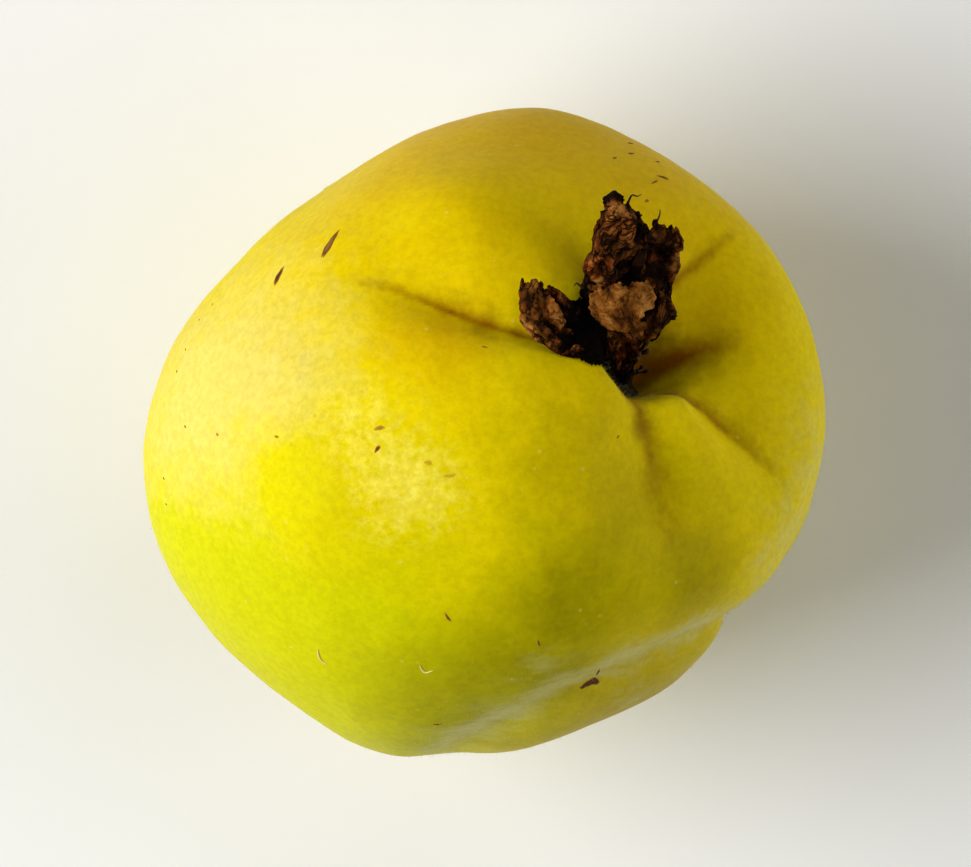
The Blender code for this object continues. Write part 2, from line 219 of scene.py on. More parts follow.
def furrows_at(polar, azimuth):
    """How deep the furrows are cut."""
    depth = np.zeros(polar.shape)
    for furrow in FURROWS:
        aside, left = furrow_at(furrow, polar, azimuth)
        _, _, reach, deep, _, _, near_round, far_round, _ = furrow
        outward = smooth_step(0.0, 1.0, polar / math.radians(reach))
        bottom = near_round + (far_round - near_round) * outward
        depth += deep * MM * left * np.exp(bottom - np.hypot(aside, bottom))
    return depth


def basin_at(across):
    """How deep the flower basin is: a steep pit in a wide funnel, both fuller at the lobe."""
    beside = across - np.array(PIT_CENTRE)
    off_pit = np.hypot(beside[..., 0], beside[..., 1])
    far = 0.5 + 0.5 * beside[..., 0] / np.maximum(off_pit, 0.1 * MM)
    turned = np.arctan2(beside[..., 1], beside[..., 0]) - LOBE_AZIMUTH
    lobe = bump(np.arccos(np.cos(turned)) / LOBE_SPREAD)
    far = np.maximum(far - LOBE_FULLNESS * lobe, 0.0)
    pit_radius = PIT_NEAR + (PIT_FAR - PIT_NEAR) * far - LOBE_STANDS_IN * lobe
    funnel_radius = FUNNEL_NEAR + (FUNNEL_FAR - FUNNEL_NEAR) * far
    funnel_depth = FUNNEL_DEPTH_NEAR + (FUNNEL_DEPTH_FAR - FUNNEL_DEPTH_NEAR) * far
    pit_depth = BASIN_DEPTH - funnel_depth
    return pit_depth * bump(off_pit / pit_radius, 4) + funnel_depth * bump(off_pit / funnel_radius)


def stalk_end_at(across):
    """How far the stalk cavity goes in, less the knob in it, and the knob's own socket."""
    off_axis = np.hypot(across[..., 0], across[..., 1])
    cavity = CAVITY_DEPTH * bump(off_axis / CAVITY_RADIUS)
    knob = KNOB_HEIGHT * bump(off_axis / KNOB_RADIUS, 4)
    return cavity - knob + SOCKET_DEPTH * bump(off_axis / SOCKET_RADIUS, 4)


def direction_across(polar, azimuth):
    level = np.sin(polar)
    return np.stack((level * np.cos(azimuth), level * np.sin(azimuth), np.cos(polar)), axis=-1)


def flesh_point(polar, azimuth, lumps=LUMPS + FINE_LUMPS):
    """Points of the flesh in the fruit's own frame, core at zero, for arrays of the two angles."""
    out = direction_across(polar, azimuth)
    reach = RADIUS + lumps_at(out @ axis_frame().T, lumps) - furrows_at(polar, azimuth)
    point = out * reach[..., None]
    point[..., 2] *= AXIS_STRETCH
    across = point[..., :2]
    calyx_side = smooth_step(*END_BLEND, np.cos(polar))
    stalk_side = smooth_step(*END_BLEND, -np.cos(polar))
    point[..., 2] += stalk_side * stalk_end_at(across) - calyx_side * basin_at(across)
    return point


def ring_angles(count, crowded, spread):
    fine = np.linspace(0.0, math.pi, 2001)
    crowding = crowded * bump(fine / spread)
    crowding += STALK_CROWDING * bump((math.pi - fine) / STALK_SPREAD)
    share = np.concatenate(([0.0], np.cumsum(1.0 + (crowding[1:] + crowding[:-1]) / 2)))
    return np.interp(np.linspace(0.0, 1.0, count), share / share[-1], fine)


def angle_grid(rings, around, crowded=SKIN_CROWDING, spread=SKIN_SPREAD):
    angles = ring_angles(rings + 2, crowded, spread)[1:-1]
    azimuths = np.linspace(0.0, 2.0 * math.pi, around, endpoint=False)
    polar, azimuth = np.meshgrid(angles, azimuths, indexing="ij")
    return (
        np.concatenate(([0.0], polar.reshape(-1), [math.pi])),
        np.concatenate(([0.0], azimuth.reshape(-1), [0.0])),
    )


def find_core():
    """Where the core lies: the part's own lumps on its coarse mesh, set into the part's box."""
    angles = angle_grid(PART_RINGS, PART_AROUND, BASIN_CROWDING, BASIN_SPREAD)
    lying = flesh_point(*angles, LUMPS) @ axis_frame().T
    lowest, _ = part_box("fruit_body")
    floor = lying[:, 2].min() + FLAT_DEPTH
    return np.array(lowest) - np.array((*lying[:, :2].min(axis=0), floor))


def uneven(points, size, seed=0.0):
    """Smooth unevenness, about -1 to 1, with swellings of that size in the points' own unit."""
    scaled = points.reshape(-1, 3) / size + seed
    return noises(scaled).reshape(points.shape[:-1])


def skin_point(polar, azimuth):
    """Points of the skin as the fruit lies on the table."""
    flesh = flesh_point(polar, azimuth)
    out = direction_across(polar, azimuth)
    rise = sum(high * MM * uneven(flesh, size * MM, size) for size, high in RELIEF)
    off_axis = np.hypot(flesh[..., 0], flesh[..., 1])
    flank = bump((off_axis - KNOB_RADIUS) / (RIB_FLANK * KNOB_RADIUS)) * (polar > math.pi / 2)
    twist = RIB_COUNT * azimuth + RIB_WANDER * uneven(flesh, RIB_WANDER_SIZE, 3.0)
    rise = rise + RIB_HEIGHT * flank * (np.abs(np.cos(twist / 2)) - RIB_GROOVE)
    lying = (flesh + out * rise[..., None]) @ axis_frame().T + CORE
    lying[..., 2] = np.maximum(lying[..., 2], 0.0)
    return lying


def skin_normal(polar, azimuth):
    step = 0.002
    down = skin_point(polar + step, azimuth) - skin_point(polar - step, azimuth)
    aside = skin_point(polar, azimuth + step) - skin_point(polar, azimuth - step)
    return unit(np.cross(down, aside))


def off_skin(polar, azimuth, lift):
    """Points of the skin, moved out from it by the lift."""
    return skin_point(polar, azimuth) + skin_normal(polar, azimuth) * lift


def unit(vectors):
    return vectors / np.maximum(np.linalg.norm(vectors, axis=-1, keepdims=True), 1e-12)


def to_table(points):
    """From the fruit's own frame to the frame that it lies in."""
    return points @ axis_frame().T + CORE


# ---------------------------------------------------------------- making pieces
def ball_faces(rings, around):
    """Quads between rings of points, with a fan to a single point before and after them."""
    faces = []
    for ring in range(rings - 1):
        low = 1 + ring * around
        for step in range(around):
            after = (step + 1) % around
            faces.append((low + step, low + around + step, low + around + after, low + after))
    low = 1 + (rings - 1) * around
    for step in range(around):
        after = (step + 1) % around
        faces.append((0, 1 + step, 1 + after))
        faces.append((low + step, low + around, low + after))
    return faces


def make_piece(name, points, faces, material, stands_for=(), shades=None):
    """A closed piece that rides on the fruit. Shades are its per-point values for the material."""
    mesh = bpy.data.meshes.new(name)
    mesh.from_pydata(points.reshape(-1, 3).tolist(), [], faces)
    mesh.update()
    mesh.shade_smooth()
    mesh.materials.append(material)
    for shade, values in (shades or {}).items():
        held = mesh.attributes.new(shade, "FLOAT", "POINT")
        held.data.foreach_set("value", np.asarray(values, dtype=np.float32).reshape(-1))
    piece = bpy.data.objects.new(name, mesh)
    bpy.context.scene.collection.objects.link(piece)
    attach(piece, "root")
    if stands_for:
        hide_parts(*stands_for)


class Heap:
    """Collects many small closed shapes into one piece."""

    def __init__(self):
        self.points = []
        self.faces = []
        self.shades = {}
        self.count = 0

    def add(self, points, faces, **shades):
        points = np.asarray(points).reshape(-1, 3)
        self.points.append(points)
        self.faces += [tuple(self.count + index for index in face) for face in faces]
        for shade, values in shades.items():
            spread = np.broadcast_to(np.asarray(values, dtype=float).reshape(-1), (len(points),))
            self.shades.setdefault(shade, []).append(spread)
        self.count += len(points)

    def piece(self, name, material, slot, stands_for=()):
        shades = {shade: np.concatenate(parts) for shade, parts in self.shades.items()}
        points = np.concatenate(self.points)
        make_piece(name, points, self.faces, material, stands_for, shades)


# ---------------------------------------------------------------- materials
def linear(colour):
    """An sRGB hex colour as the linear values that a shader takes."""
    parts = [int(colour[place : place + 2], 16) / 255 for place in (1, 3, 5)]
    parts = [part / 12.92 if part <= 0.04045 else ((part + 0.055) / 1.055) ** 2.4 for part in parts]
    return (*parts, 1.0)


def give(tree, node, inputs):
    """Gives inputs of a node their values or links; a node stands for its first output."""
    for name, value in inputs.items():
        source = value.outputs[0] if isinstance(value, bpy.types.Node) else value
        if isinstance(source, bpy.types.NodeSocket):
            tree.links.new(source, node.inputs[name])
        else:
            node.inputs[name].default_value = source


def add(tree, kind, inputs=None, stops=(), **settings):
    """Adds a node with its settings, its inputs and, for a row of colours, its stops."""
    made = tree.nodes.new("ShaderNode" + kind)
    for name, value in settings.items():
        setattr(made, name, value)
    if stops:
        while len(made.color_ramp.elements) < len(stops):
            made.color_ramp.elements.new(0.5)
        for element, (place, colour) in zip(made.color_ramp.elements, stops):
            element.position = place
            element.color = linear(colour)
    give(tree, made, inputs or {})
    return made


def start_material(name, **sockets):
    """An empty material whose shader has the given constants."""
    material = bpy.data.materials.new(name)
    material.use_nodes = True
    shader = material.node_tree.nodes["Principled BSDF"]
    for socket, value in sockets.items():
        shader.inputs[socket.replace("_", " ")].default_value = value
    return material, material.node_tree, shader


# Layers of colour over the plain yellow of the skin: the point value that says where, the colour,
# the size in mm of the patches that it breaks into, how strongly it breaks up, and whether it is
# drawn out into streaks along the fold.
SKIN_LAYERS = (
    ("green", "#D2D000", 9.0, 0.35, False),
    # Painted shade: an olive darkening where the skin turns away from the lamp.
    ("painted_olive_shade", "#958C00", 5.0, 0.3, False),
    # The skin's own golden tone, also laid on as painted shade where the skin turns from the lamp.
    ("gold_and_painted_shade", "#DCA400", 12.0, 0.25, False),
    ("ochre", "#A8902C", 6.0, 0.15, False),
    # Painted highlight: a pale lemon layer on the side that faces the window.
    ("painted_highlight", "#E6D464", 2.6, 0.5, False),
    # Pale curdled patches of skin on the lit side, partly a painted highlight.
    ("curd_and_painted_highlight", "#FCEC58", 1.3, 1.0, False),
    # Painted sheen: a pale haze along the edges of the fruit.
    ("painted_rim_sheen", "#D6D288", 3.0, 0.5, False),
    # Pale bloom of down in and beside the fold; on the crest above the fold it is also a painted highlight.
    ("bloom", "#D6D088", 2.0, 0.6, True),
    # Brown of the dried tissue in the basin, and painted shade in its hollows and a furrow's dark wedge.
    ("pit", "#765404", 2.2, 0.4, False),
    # Brown along each furrow's line, and painted shade on the skin beside it.
    ("furrow_brown_and_shade", "#8F5600", 1.6, 0.35, False),
    ("stalk", "#7C8A1C", 4.0, 0.4, False),
    ("russet", "#9A5A1C", 1.1, 0.7, False),
    ("streak", "#3A2410", 0.9, 0.6, False),
)
# Which way the streaks run as seen from above, and how long they are for their width.
STREAK_TURN = math.radians(-27)
STREAK_STRETCH = (0.3, 1.4, 1.0)


def quince_skin():
    """Ripe quince skin: a thin natural wax, partly covered by what is left of its down.

    The wax gives a broad soft gloss over a yellow so deep that no blue comes back, the flesh
    below lets a little orange light through at the shaded side, and the down turns pale where it
    is seen along the surface. Some colour layers also paint light and shade into the skin: a
    highlight, a sheen along the edges, and shade in hollows and beside furrows.
    """
    material, tree, shader = start_material(
        "waxy_quince_skin",
        Roughness=0.48,
        IOR=1.45,
        Specular_IOR_Level=0.04,
        Specular_Tint=linear("#FFF0B0"),
        Subsurface_Weight=0.12,
        Subsurface_Radius=(1.0, 0.62, 0.04),
        Subsurface_Scale=2.5 * MM,
        Sheen_Weight=0.01,
        Sheen_Roughness=0.4,
        Sheen_Tint=linear("#FFF3B8"),
    )
    place = add(tree, "TexCoord").outputs["Object"]
    clouds = add(tree, "TexNoise", {"Vector": place, "Scale": 1 / (14 * MM), "Detail": 4.0})
    colour = add(tree, "ValToRGB", {"Fac": clouds}, ((0.3, "#E8CC00"), (0.5, "#EED400"), (0.72, "#F0DA00")))
    drawn_out = add(
        tree, "Mapping", {"Vector": place, "Rotation": (0.0, 0.0, STREAK_TURN), "Scale": STREAK_STRETCH}
    )
    for mask, shade, size, broken, streaky in SKIN_LAYERS:
        amount = add(tree, "Attribute", attribute_name=mask).outputs["Fac"]
        where = drawn_out if streaky else place
        patches = add(
            tree, "TexNoise", {"Vector": where, "Scale": 1 / (size * MM), "Detail": 5.0, "Roughness": 0.62}
        )
        spread = add(tree, "Math", {0: patches, 1: -0.5}, operation="ADD")
        broken_up = add(tree, "Math", {0: spread, 1: 2.6 * broken, 2: amount}, operation="MULTIPLY_ADD")
        edge = add(tree, "Math", {0: amount, 1: 6.0}, operation="MULTIPLY", use_clamp=True)
        cover = add(tree, "Math", {0: broken_up, 1: edge}, operation="MULTIPLY", use_clamp=True)
        colour = add(tree, "Mix", {0: cover, 6: colour, 7: linear(shade)}, data_type="RGBA").outputs[2]
    # Mottling of the flesh seen through the skin, about a millimetre across.
    mottle = add(
        tree, "TexNoise", {"Vector": place, "Scale": 1 / (0.9 * MM), "Detail": 4.0, "Roughness": 0.7}
    )
    mottled = add(
        tree, "ValToRGB", {"Fac": mottle}, ((0.36, "#F1EFE2"), (0.5, "#F9F8F0"), (0.62, "#FFFFFF"))
    )
    colour = add(
        tree, "Mix", {0: 1.0, 6: colour, 7: mottled}, data_type="RGBA", blend_type="MULTIPLY"
    ).outputs[2]
    # Lenticels: pale and dark pores about a third of a millimetre across, two to three apart.
    pores = add(tree, "TexVoronoi", {"Vector": place, "Scale": 1 / (2.4 * MM), "Randomness": 1.0})
    pore = add(
        tree,
        "MapRange",
        {
            "Value": pores.outputs["Distance"],
            "From Min": 0.05,
            "From Max": 0.13,
            "To Min": 0.35,
            "To Max": 0.0,
        },
    )
    drawn = add(tree, "SeparateColor", {0: pores.outputs["Color"]})
    pore_shade = add(
        tree, "ValToRGB", {"Fac": drawn}, ((0.0, "#B79A10"), (0.5, "#D8C40C"), (1.0, "#F4E674"))
    )
    colour = add(tree, "Mix", {0: pore, 6: colour, 7: pore_shade}, data_type="RGBA").outputs[2]
    # Grain of the skin, about half a millimetre, drawn a little coarser than it is.
    grain = add(
        tree, "TexNoise", {"Vector": place, "Scale": 1 / (0.7 * MM), "Detail": 4.0, "Roughness": 0.6}
    )
    dents = add(tree, "TexNoise", {"Vector": place, "Scale": 1 / (3.2 * MM), "Detail": 2.0})
    height = add(tree, "Math", {0: dents, 1: 2.0, 2: grain}, operation="MULTIPLY_ADD")
    relief = add(tree, "Bump", {"Height": height, "Strength": 0.27, "Distance": 0.07 * MM})
    wear = add(
        tree,
        "MapRange",
        {"Value": clouds, "From Min": 0.3, "From Max": 0.7, "To Min": 0.42, "To Max": 0.56},
    )
    give(tree, shader, {"Base Color": colour, "Roughness": wear, "Normal": relief})
    return material


def russet_cork():
    """Corky russet of a healed scratch: dry, rough and matt, dark where it is thick."""
    material, tree, shader = start_material("russet_cork", Roughness=0.8, IOR=1.45, Specular_IOR_Level=0.2)
    core = add(tree, "Attribute", attribute_name="core").outputs["Fac"]
    place = add(tree, "TexCoord").outputs["Object"]
    grain = add(tree, "TexNoise", {"Vector": place, "Scale": 1 / (0.35 * MM), "Detail": 3.0})
    share = add(tree, "Math", {0: grain, 1: 0.35, 2: core}, operation="MULTIPLY_ADD")
    stops = ((0.14, "#DCC20A"), (0.34, "#B98A14"), (0.6, "#7C4A10"), (0.9, "#4A280C"), (1.0, "#5A3414"))
    colour = add(tree, "ValToRGB", {"Fac": share}, stops)
    paler = add(tree, "Attribute", attribute_name="tan").outputs["Fac"]
    colour = add(tree, "Mix", {0: paler, 6: colour, 7: linear("#B98A3C")}, data_type="RGBA").outputs[2]
    relief = add(tree, "Bump", {"Height": grain, "Strength": 0.5, "Distance": 0.05 * MM})
    give(tree, shader, {"Base Color": colour, "Normal": relief})
    return material


def quince_down():
    """The last of the down: dry, dusty plant hairs, pale straw to brown, with no gloss."""
    material, tree, shader = start_material(
        "quince_down", Roughness=0.85, IOR=1.5, Specular_IOR_Level=0.2, Sheen_Weight=0.3
    )
    dusty = add(tree, "Attribute", attribute_name="dusty").outputs["Fac"]
    colour = add(tree, "ValToRGB", {"Fac": dusty}, ((0.0, "#E4D878"), (0.5, "#B89A3C"), (1.0, "#6A4E1E")))
    give(tree, shader, {"Base Color": colour})
    return material


def dried_calyx():
    """Dried sepals: leaf tissue gone papery and brown, with no wax left.

    It is matt, and painted shade makes it nearly black in its folds, hollows and low parts; it is
    tan where a ridge is rubbed and dusty, and its veins stand up paler than the tissue between them.
    """
    material, tree, shader = start_material(
        "dried_calyx_leaf", Roughness=0.75, IOR=1.45, Specular_IOR_Level=0.04
    )
    place = add(tree, "TexCoord").outputs["Object"]
    ridge = add(tree, "Attribute", attribute_name="ridge").outputs["Fac"]
    tone = add(tree, "Attribute", attribute_name="tone").outputs["Fac"]
    blotch = add(
        tree, "TexNoise", {"Vector": place, "Scale": 1 / (1.3 * MM), "Detail": 5.0, "Roughness": 0.65}
    )
    fibre = add(
        tree, "TexNoise", {"Vector": place, "Scale": 1 / (0.28 * MM), "Detail": 3.0, "Roughness": 0.7}
    )
    # The ridge value carries painted shade: it is low in the hollows, where the ramps run to black.
    mixed = add(tree, "Math", {0: blotch, 1: 0.7, 2: ridge}, operation="MULTIPLY_ADD")
    mixed = add(tree, "Math", {0: fibre, 1: 0.35, 2: mixed}, operation="MULTIPLY_ADD")
    # Creases of the dried tissue branch like its veins, one to two millimetres apart.
    crease = add(
        tree,
        "TexNoise",
        {"Vector": place, "Scale": 1 / (2.2 * MM), "Detail": 4.0, "Roughness": 0.6, "Distortion": 1.2},
    )
    off_line = add(tree, "Math", {0: crease, 1: 0.5}, operation="SUBTRACT")
    off_line = add(tree, "Math", {0: off_line}, operation="ABSOLUTE")
    crack = add(
        tree,
        "MapRange",
        {"Value": off_line, "From Min": 0.0, "From Max": 0.05, "To Min": -0.5, "To Max": 0.0},
    )
    softened = add(tree, "MapRange", {"Value": tone, "To Min": 1.0, "To Max": 0.35})
    crack = add(tree, "Math", {0: crack, 1: softened}, operation="MULTIPLY")
    mixed = add(tree, "Math", {0: mixed, 1: crack}, operation="ADD")
    share = add(tree, "MapRange", {"Value": mixed, "From Min": 0.58, "From Max": 1.3})
    brown = add(
        tree,
        "ValToRGB",
        {"Fac": share},
        ((0.0, "#050201"), (0.36, "#180A02"), (0.62, "#462408"), (0.85, "#744218"), (1.0, "#9C6830")),
    )
    reddish = add(
        tree,
        "ValToRGB",
        {"Fac": share},
        ((0.0, "#080201"), (0.32, "#260A02"), (0.65, "#642806"), (1.0, "#A0561E")),
    )
    tan = add(
        tree,
        "ValToRGB",
        {"Fac": share},
        ((0.0, "#2A1402"), (0.3, "#5C320C"), (0.62, "#86521A"), (1.0, "#AC7636")),
    )
    hue = add(tree, "TexNoise", {"Vector": place, "Scale": 1 / (3.0 * MM), "Detail": 2.0})
    redder = add(tree, "MapRange", {"Value": hue, "From Min": 0.44, "From Max": 0.6})
    colour = add(tree, "Mix", {0: redder, 6: brown, 7: reddish}, data_type="RGBA").outputs[2]
    colour = add(tree, "Mix", {0: tone, 6: colour, 7: tan}, data_type="RGBA").outputs[2]
    height = add(tree, "Math", {0: fibre, 1: 0.5, 2: blotch}, operation="MULTIPLY_ADD")
    height = add(tree, "Math", {0: crack, 1: 1.2, 2: height}, operation="MULTIPLY_ADD")
    relief = add(tree, "Bump", {"Height": height, "Strength": 0.9, "Distance": 0.2 * MM})
    give(tree, shader, {"Base Color": colour, "Normal": relief})
    return material


def dried_disc():
    """The dried floor of the flower: crusted, dark brown, with a grey-green bloom of mould."""
    material, tree, shader = start_material(
        "dried_flower_disc", Roughness=0.9, IOR=1.45, Specular_IOR_Level=0.2
    )
    place = add(tree, "TexCoord").outputs["Object"]
    crust = add(
        tree, "TexNoise", {"Vector": place, "Scale": 1 / (0.8 * MM), "Detail": 5.0, "Roughness": 0.7}
    )
    colour = add(
        tree,
        "ValToRGB",
        {"Fac": crust},
        ((0.3, "#160D05"), (0.5, "#33260F"), (0.62, "#3C4A28"), (0.8, "#6E8468")),
    )
    relief = add(tree, "Bump", {"Height": crust, "Strength": 0.8, "Distance": 0.2 * MM})
    give(tree, shader, {"Base Color": colour, "Normal": relief})
    return material


def dried_threads():
    """Dried stamens and styles: thin brittle threads, dark brown with paler, dusty ends."""
    material, tree, shader = start_material(
        "dried_flower_threads", Roughness=0.8, IOR=1.5, Specular_IOR_Level=0.3
    )
    place = add(tree, "TexCoord").outputs["Object"]
    dusty = add(tree, "Attribute", attribute_name="dusty").outputs["Fac"]
    fibre = add(tree, "TexNoise", {"Vector": place, "Scale": 1 / (0.5 * MM), "Detail": 3.0})
    share = add(tree, "Math", {0: fibre, 1: 0.5, 2: dusty}, operation="MULTIPLY_ADD")
    colour = add(
        tree,
        "ValToRGB",
        {"Fac": share},
        ((0.15, "#0E0602"), (0.5, "#241206"), (0.85, "#4A2E14"), (1.0, "#6E4C28")),
    )
    give(tree, shader, {"Base Color": colour})
    return material


def woody_stalk():
    """A dead stalk broken off: grey-brown bark round torn, paler wood fibres."""
    material, tree, shader = start_material(
        "broken_quince_stalk", Roughness=0.85, IOR=1.5, Specular_IOR_Level=0.25
    )
    place = add(tree, "TexCoord").outputs["Object"]
    ridge = add(tree, "Attribute", attribute_name="ridge").outputs["Fac"]
    torn = add(tree, "Attribute", attribute_name="torn").outputs["Fac"]
    grain = add(
        tree, "TexNoise", {"Vector": place, "Scale": 1 / (0.6 * MM), "Detail": 5.0, "Roughness": 0.7}
    )
    share = add(tree, "Math", {0: grain, 1: 0.7, 2: ridge}, operation="MULTIPLY_ADD")
    bark = add(
        tree,
        "ValToRGB",
        {"Fac": share},
        ((0.2, "#23140A"), (0.55, "#5A3E24"), (0.85, "#8A6C48"), (1.0, "#A58B66")),
    )
    wood = add(tree, "ValToRGB", {"Fac": share}, ((0.2, "#5E3E1E"), (0.6, "#A47C48"), (1.0, "#D8BC88")))
    colour = add(tree, "Mix", {0: torn, 6: bark, 7: wood}, data_type="RGBA").outputs[2]
    relief = add(tree, "Bump", {"Height": grain, "Strength": 0.8, "Distance": 0.15 * MM})
    give(tree, shader, {"Base Color": colour, "Normal": relief})
    return material


def table_top():
    """A table painted matt white: no gloss, and only the faintest unevenness of tone."""
    material, tree, shader = start_material(
        "matt_white_table", Roughness=0.9, IOR=1.45, Specular_IOR_Level=0.1
    )
    place = add(tree, "TexCoord").outputs["Object"]
    mottle = add(tree, "TexNoise", {"Vector": place, "Scale": 1 / (60 * MM), "Detail": 2.0})
    colour = add(tree, "ValToRGB", {"Fac": mottle}, ((0.3, "#F4F4F2"), (0.7, "#F7F7F5")))
    give(tree, shader, {"Base Color": colour})
    return material


# ---------------------------------------------------------------- the skin
# Where the skin's colour changes: bearing and elevation of the middle of a patch as the fruit
# lies, its spread in degrees, and its strength. Patches of one name add up.
PATCHES = {
    "green": (
        (-130, 20, 40, 0.85),
        (-105, 38, 30, 0.7),
        (-150, 10, 34, 0.5),
        (-156, 20, 14, 0.35),
        (-172, 56, 9, 0.18),
        (-40, -30, 50, 0.5),
        (-200, -40, 50, 0.4),
    ),
    # Painted shade: olive patches where the skin turns away from the lamp.
    "painted_olive_shade": (
        (-96, 26, 17, 0.4),
        (-102, 38, 14, 0.25),
        (-88, 46, 11, 0.45),
        (-70, 57, 11, 0.5),
        (-50, 56, 13, 0.5),
        (-34, 38, 9, 0.6),
        (-18, 43, 10, 0.3),
        (-70, 38, 10, 0.45),
        (-20, 78, 12, 0.4),
        (-12, 55, 9, 0.25),
    ),
    # Golden tone of the skin, partly painted shade: at the top edge, the upper right and beside the first
    # furrow.
    "gold_and_painted_shade": (
        (88, 12, 38, 0.66),
        (45, 18, 24, 0.2),
        (122, 67, 9, 0.3),
        (104, 70, 7, 0.3),
    ),
    "ochre": (
        (-60, 8, 26, 0.75),
    ),
    # Painted highlight on the side that faces the window; the negative patches hold it back.
    "painted_highlight": (
        (165, 36, 20, 0.85),
        (162, 53, 9, 0.45),
        (176, 20, 18, 0.6),
        (-158, 18, 16, -0.35),
        (-172, 54, 8, -0.4),
    ),
    "curd_and_painted_highlight": (
        (-162, 73, 7, 0.38),
        (-140, 76, 6, 0.38),
        (-142, 69, 5, 0.15),
        (170, 66, 6, 0.25),
    ),
    # Curdled pale patches on the lit side, partly painted highlight.
    # Painted sheen: pale haze along the edges of the fruit.
    "painted_rim_sheen": (
        (-11, 13, 10, 0.25),
        (-24, 20, 8, 0.20),
        (4, 12, 8, 0.15),
        (178, -2, 9, 0.2),
        (-150, -6, 16, 0.1),
    ),
    "bloom": (
        (-43, 27, 5, 0.34),
        (-76, 43, 6, 0.16),
        (-57, 34, 5, 0.32),
        (-61, 20, 6, 0.25),
        (-86, 27, 8, 0.22),
        (-95, 17, 8, 0.18),
    ),
    # Painted shade: brown patches in a furrow's dark wedge and in the corners beside the calyx.
    "pit": (
        (23, 33, 5, 0.3),
        (90, 67, 3.5, 0.45),
        (104, 62, 3.5, 0.25),
        (5, 58.5, 2.6, 0.6),
    ),
}


def patches_at(lying, patches):
    strength = np.zeros(lying.shape[:-1])
    for bearing, elevation, spread, strong in patches:
        angle = np.arccos(np.clip(lying @ direction(bearing, elevation), -1.0, 1.0))
        strength += strong * bump(angle / math.radians(spread))
    return strength


# How brown each furrow's line is, how wide the brown is in flank widths, and how strong the painted
# shade beside it is, in the order of FURROWS.
FURROW_TINTS = (
    (0.65, 0.16, 0.4),
    (0.5, 0.22, 0.22),
    (0.9, 0.45, 0.9),
    (0.5, 0.25, 0.45),
    (0.15, 0.5, 0.4),
    (0.4, 0.5, 0.5),
)
# How strong the painted shade beside a furrow is and how fast it falls off, in flank widths, and how
# much pale bloom and painted highlight lie on the crest above the fold.
SHADE_BESIDE = 0.5
SHADE_FALLS = 2.2
CREST_BLOOM_AND_HIGHLIGHT = 0.45
# Where the brown of the basin's wall fades, off its middle and towards the lobe in front of it: partly
# dried tissue, partly painted shade in the hollow.
WALL_FADES = (4.0 * MM, 10.0 * MM)
LOBE_STARTS = (2.5 * MM, 5.5 * MM)
LOBE_BARE = 0.75
# The star of russet round the stalk: its arms, how far their tips are drawn aside, and how far its
# hollows reach and how much further its tips do, as shares of the cavity's radius.
STAR_ARMS = 5
STAR_DRAWN = 1.2
STAR_HOLLOW = 0.75
STAR_TIP = 0.5
# How strong the russet is, how clear of it the knob is, how green the knob is, and how far that
# green reaches as a share of the knob's radius.
RUSSET_DEPTH = 0.95
KNOB_BARE = 1.3
KNOB_GREEN = 0.9
GREEN_REACH = 1.25
# Where the flank of the knob is dark between its ribs, as shares of the knob's radius, and how
# narrow each dark groove is.
GROOVE_FLANK = (0.9, 0.4)
GROOVE_WIDTH = 0.05


def furrow_shade(polar, azimuth):
    """How brown the skin is along a furrow's line, with painted shade on the skin beside it."""
    furrow_brown_and_shade = np.zeros(polar.shape)
    for furrow, (line, width, beside) in zip(FURROWS, FURROW_TINTS):
        aside, left = furrow_at(furrow, polar, azimuth)
        brown = line * np.exp(-((aside / width) ** 2))
        brown = brown + beside * SHADE_BESIDE * np.exp(-np.abs(aside) * SHADE_FALLS)
        furrow_brown_and_shade = np.maximum(furrow_brown_and_shade, brown * left)
    return furrow_brown_and_shade


def stalk_shades(across, azimuth):
    """The green knob, the star of russet round it, and the dark grooves between its ribs."""
    off_axis = np.linalg.norm(across, axis=-1)
    star = 0.5 + 0.5 * np.cos(STAR_ARMS * azimuth + STAR_DRAWN * np.sin(2 * azimuth))
    reach = CAVITY_RADIUS * (STAR_HOLLOW + STAR_TIP * star)
    flank = bump((off_axis / KNOB_RADIUS - GROOVE_FLANK[0]) / GROOVE_FLANK[1])
    bare = KNOB_BARE * bump(off_axis / KNOB_RADIUS, 6)
    return {
        "stalk": KNOB_GREEN * bump(off_axis / (GREEN_REACH * KNOB_RADIUS), 4),
        "russet": RUSSET_DEPTH * bump(off_axis / reach, 4) - bare,
        "streak": flank * np.exp(-(np.cos(RIB_COUNT * azimuth / 2) ** 2) / GROOVE_WIDTH),
    }


def skin_shades(polar, azimuth):
    """The point values that the skin's material reads."""
    lying = direction_across(polar, azimuth) @ axis_frame().T
    across = flesh_point(polar, azimuth)[..., :2]
    shades = {name: patches_at(lying, patches) for name, patches in PATCHES.items()}
    shades["furrow_brown_and_shade"] = furrow_shade(polar, azimuth)
    # Pale bloom along the crest above the fold, which also stands as a painted highlight on that crest.
    shades["bloom"] = shades["bloom"] + CREST_BLOOM_AND_HIGHLIGHT * crest_at(lying)
    # The basin's wall: brown of dried tissue and painted shade in the hollow, less on the lobe in front.
    off_pit = np.linalg.norm(across - np.array(PIT_CENTRE), axis=-1)
    lobe = smooth_step(*LOBE_STARTS, PIT_CENTRE[1] - across[..., 1])
    wall = (polar < math.pi / 2) * (1.0 - smooth_step(*WALL_FADES, off_pit))
    shades["pit"] = shades["pit"] + wall * (1.0 - LOBE_BARE * lobe)
    for name, shade in stalk_shades(across, azimuth).items():
        shades[name] = (polar > math.pi / 2) * np.maximum(shade, 0.0)
    return shades


def make_skin():
    polar, azimuth = angle_grid(SKIN_RINGS, SKIN_AROUND)
    points = skin_point(polar, azimuth)
    shades = skin_shades(polar, azimuth)
    faces = ball_faces(SKIN_RINGS, SKIN_AROUND)
    make_piece("quince_skin", points, faces, quince_skin(), ("fruit_body",), shades)


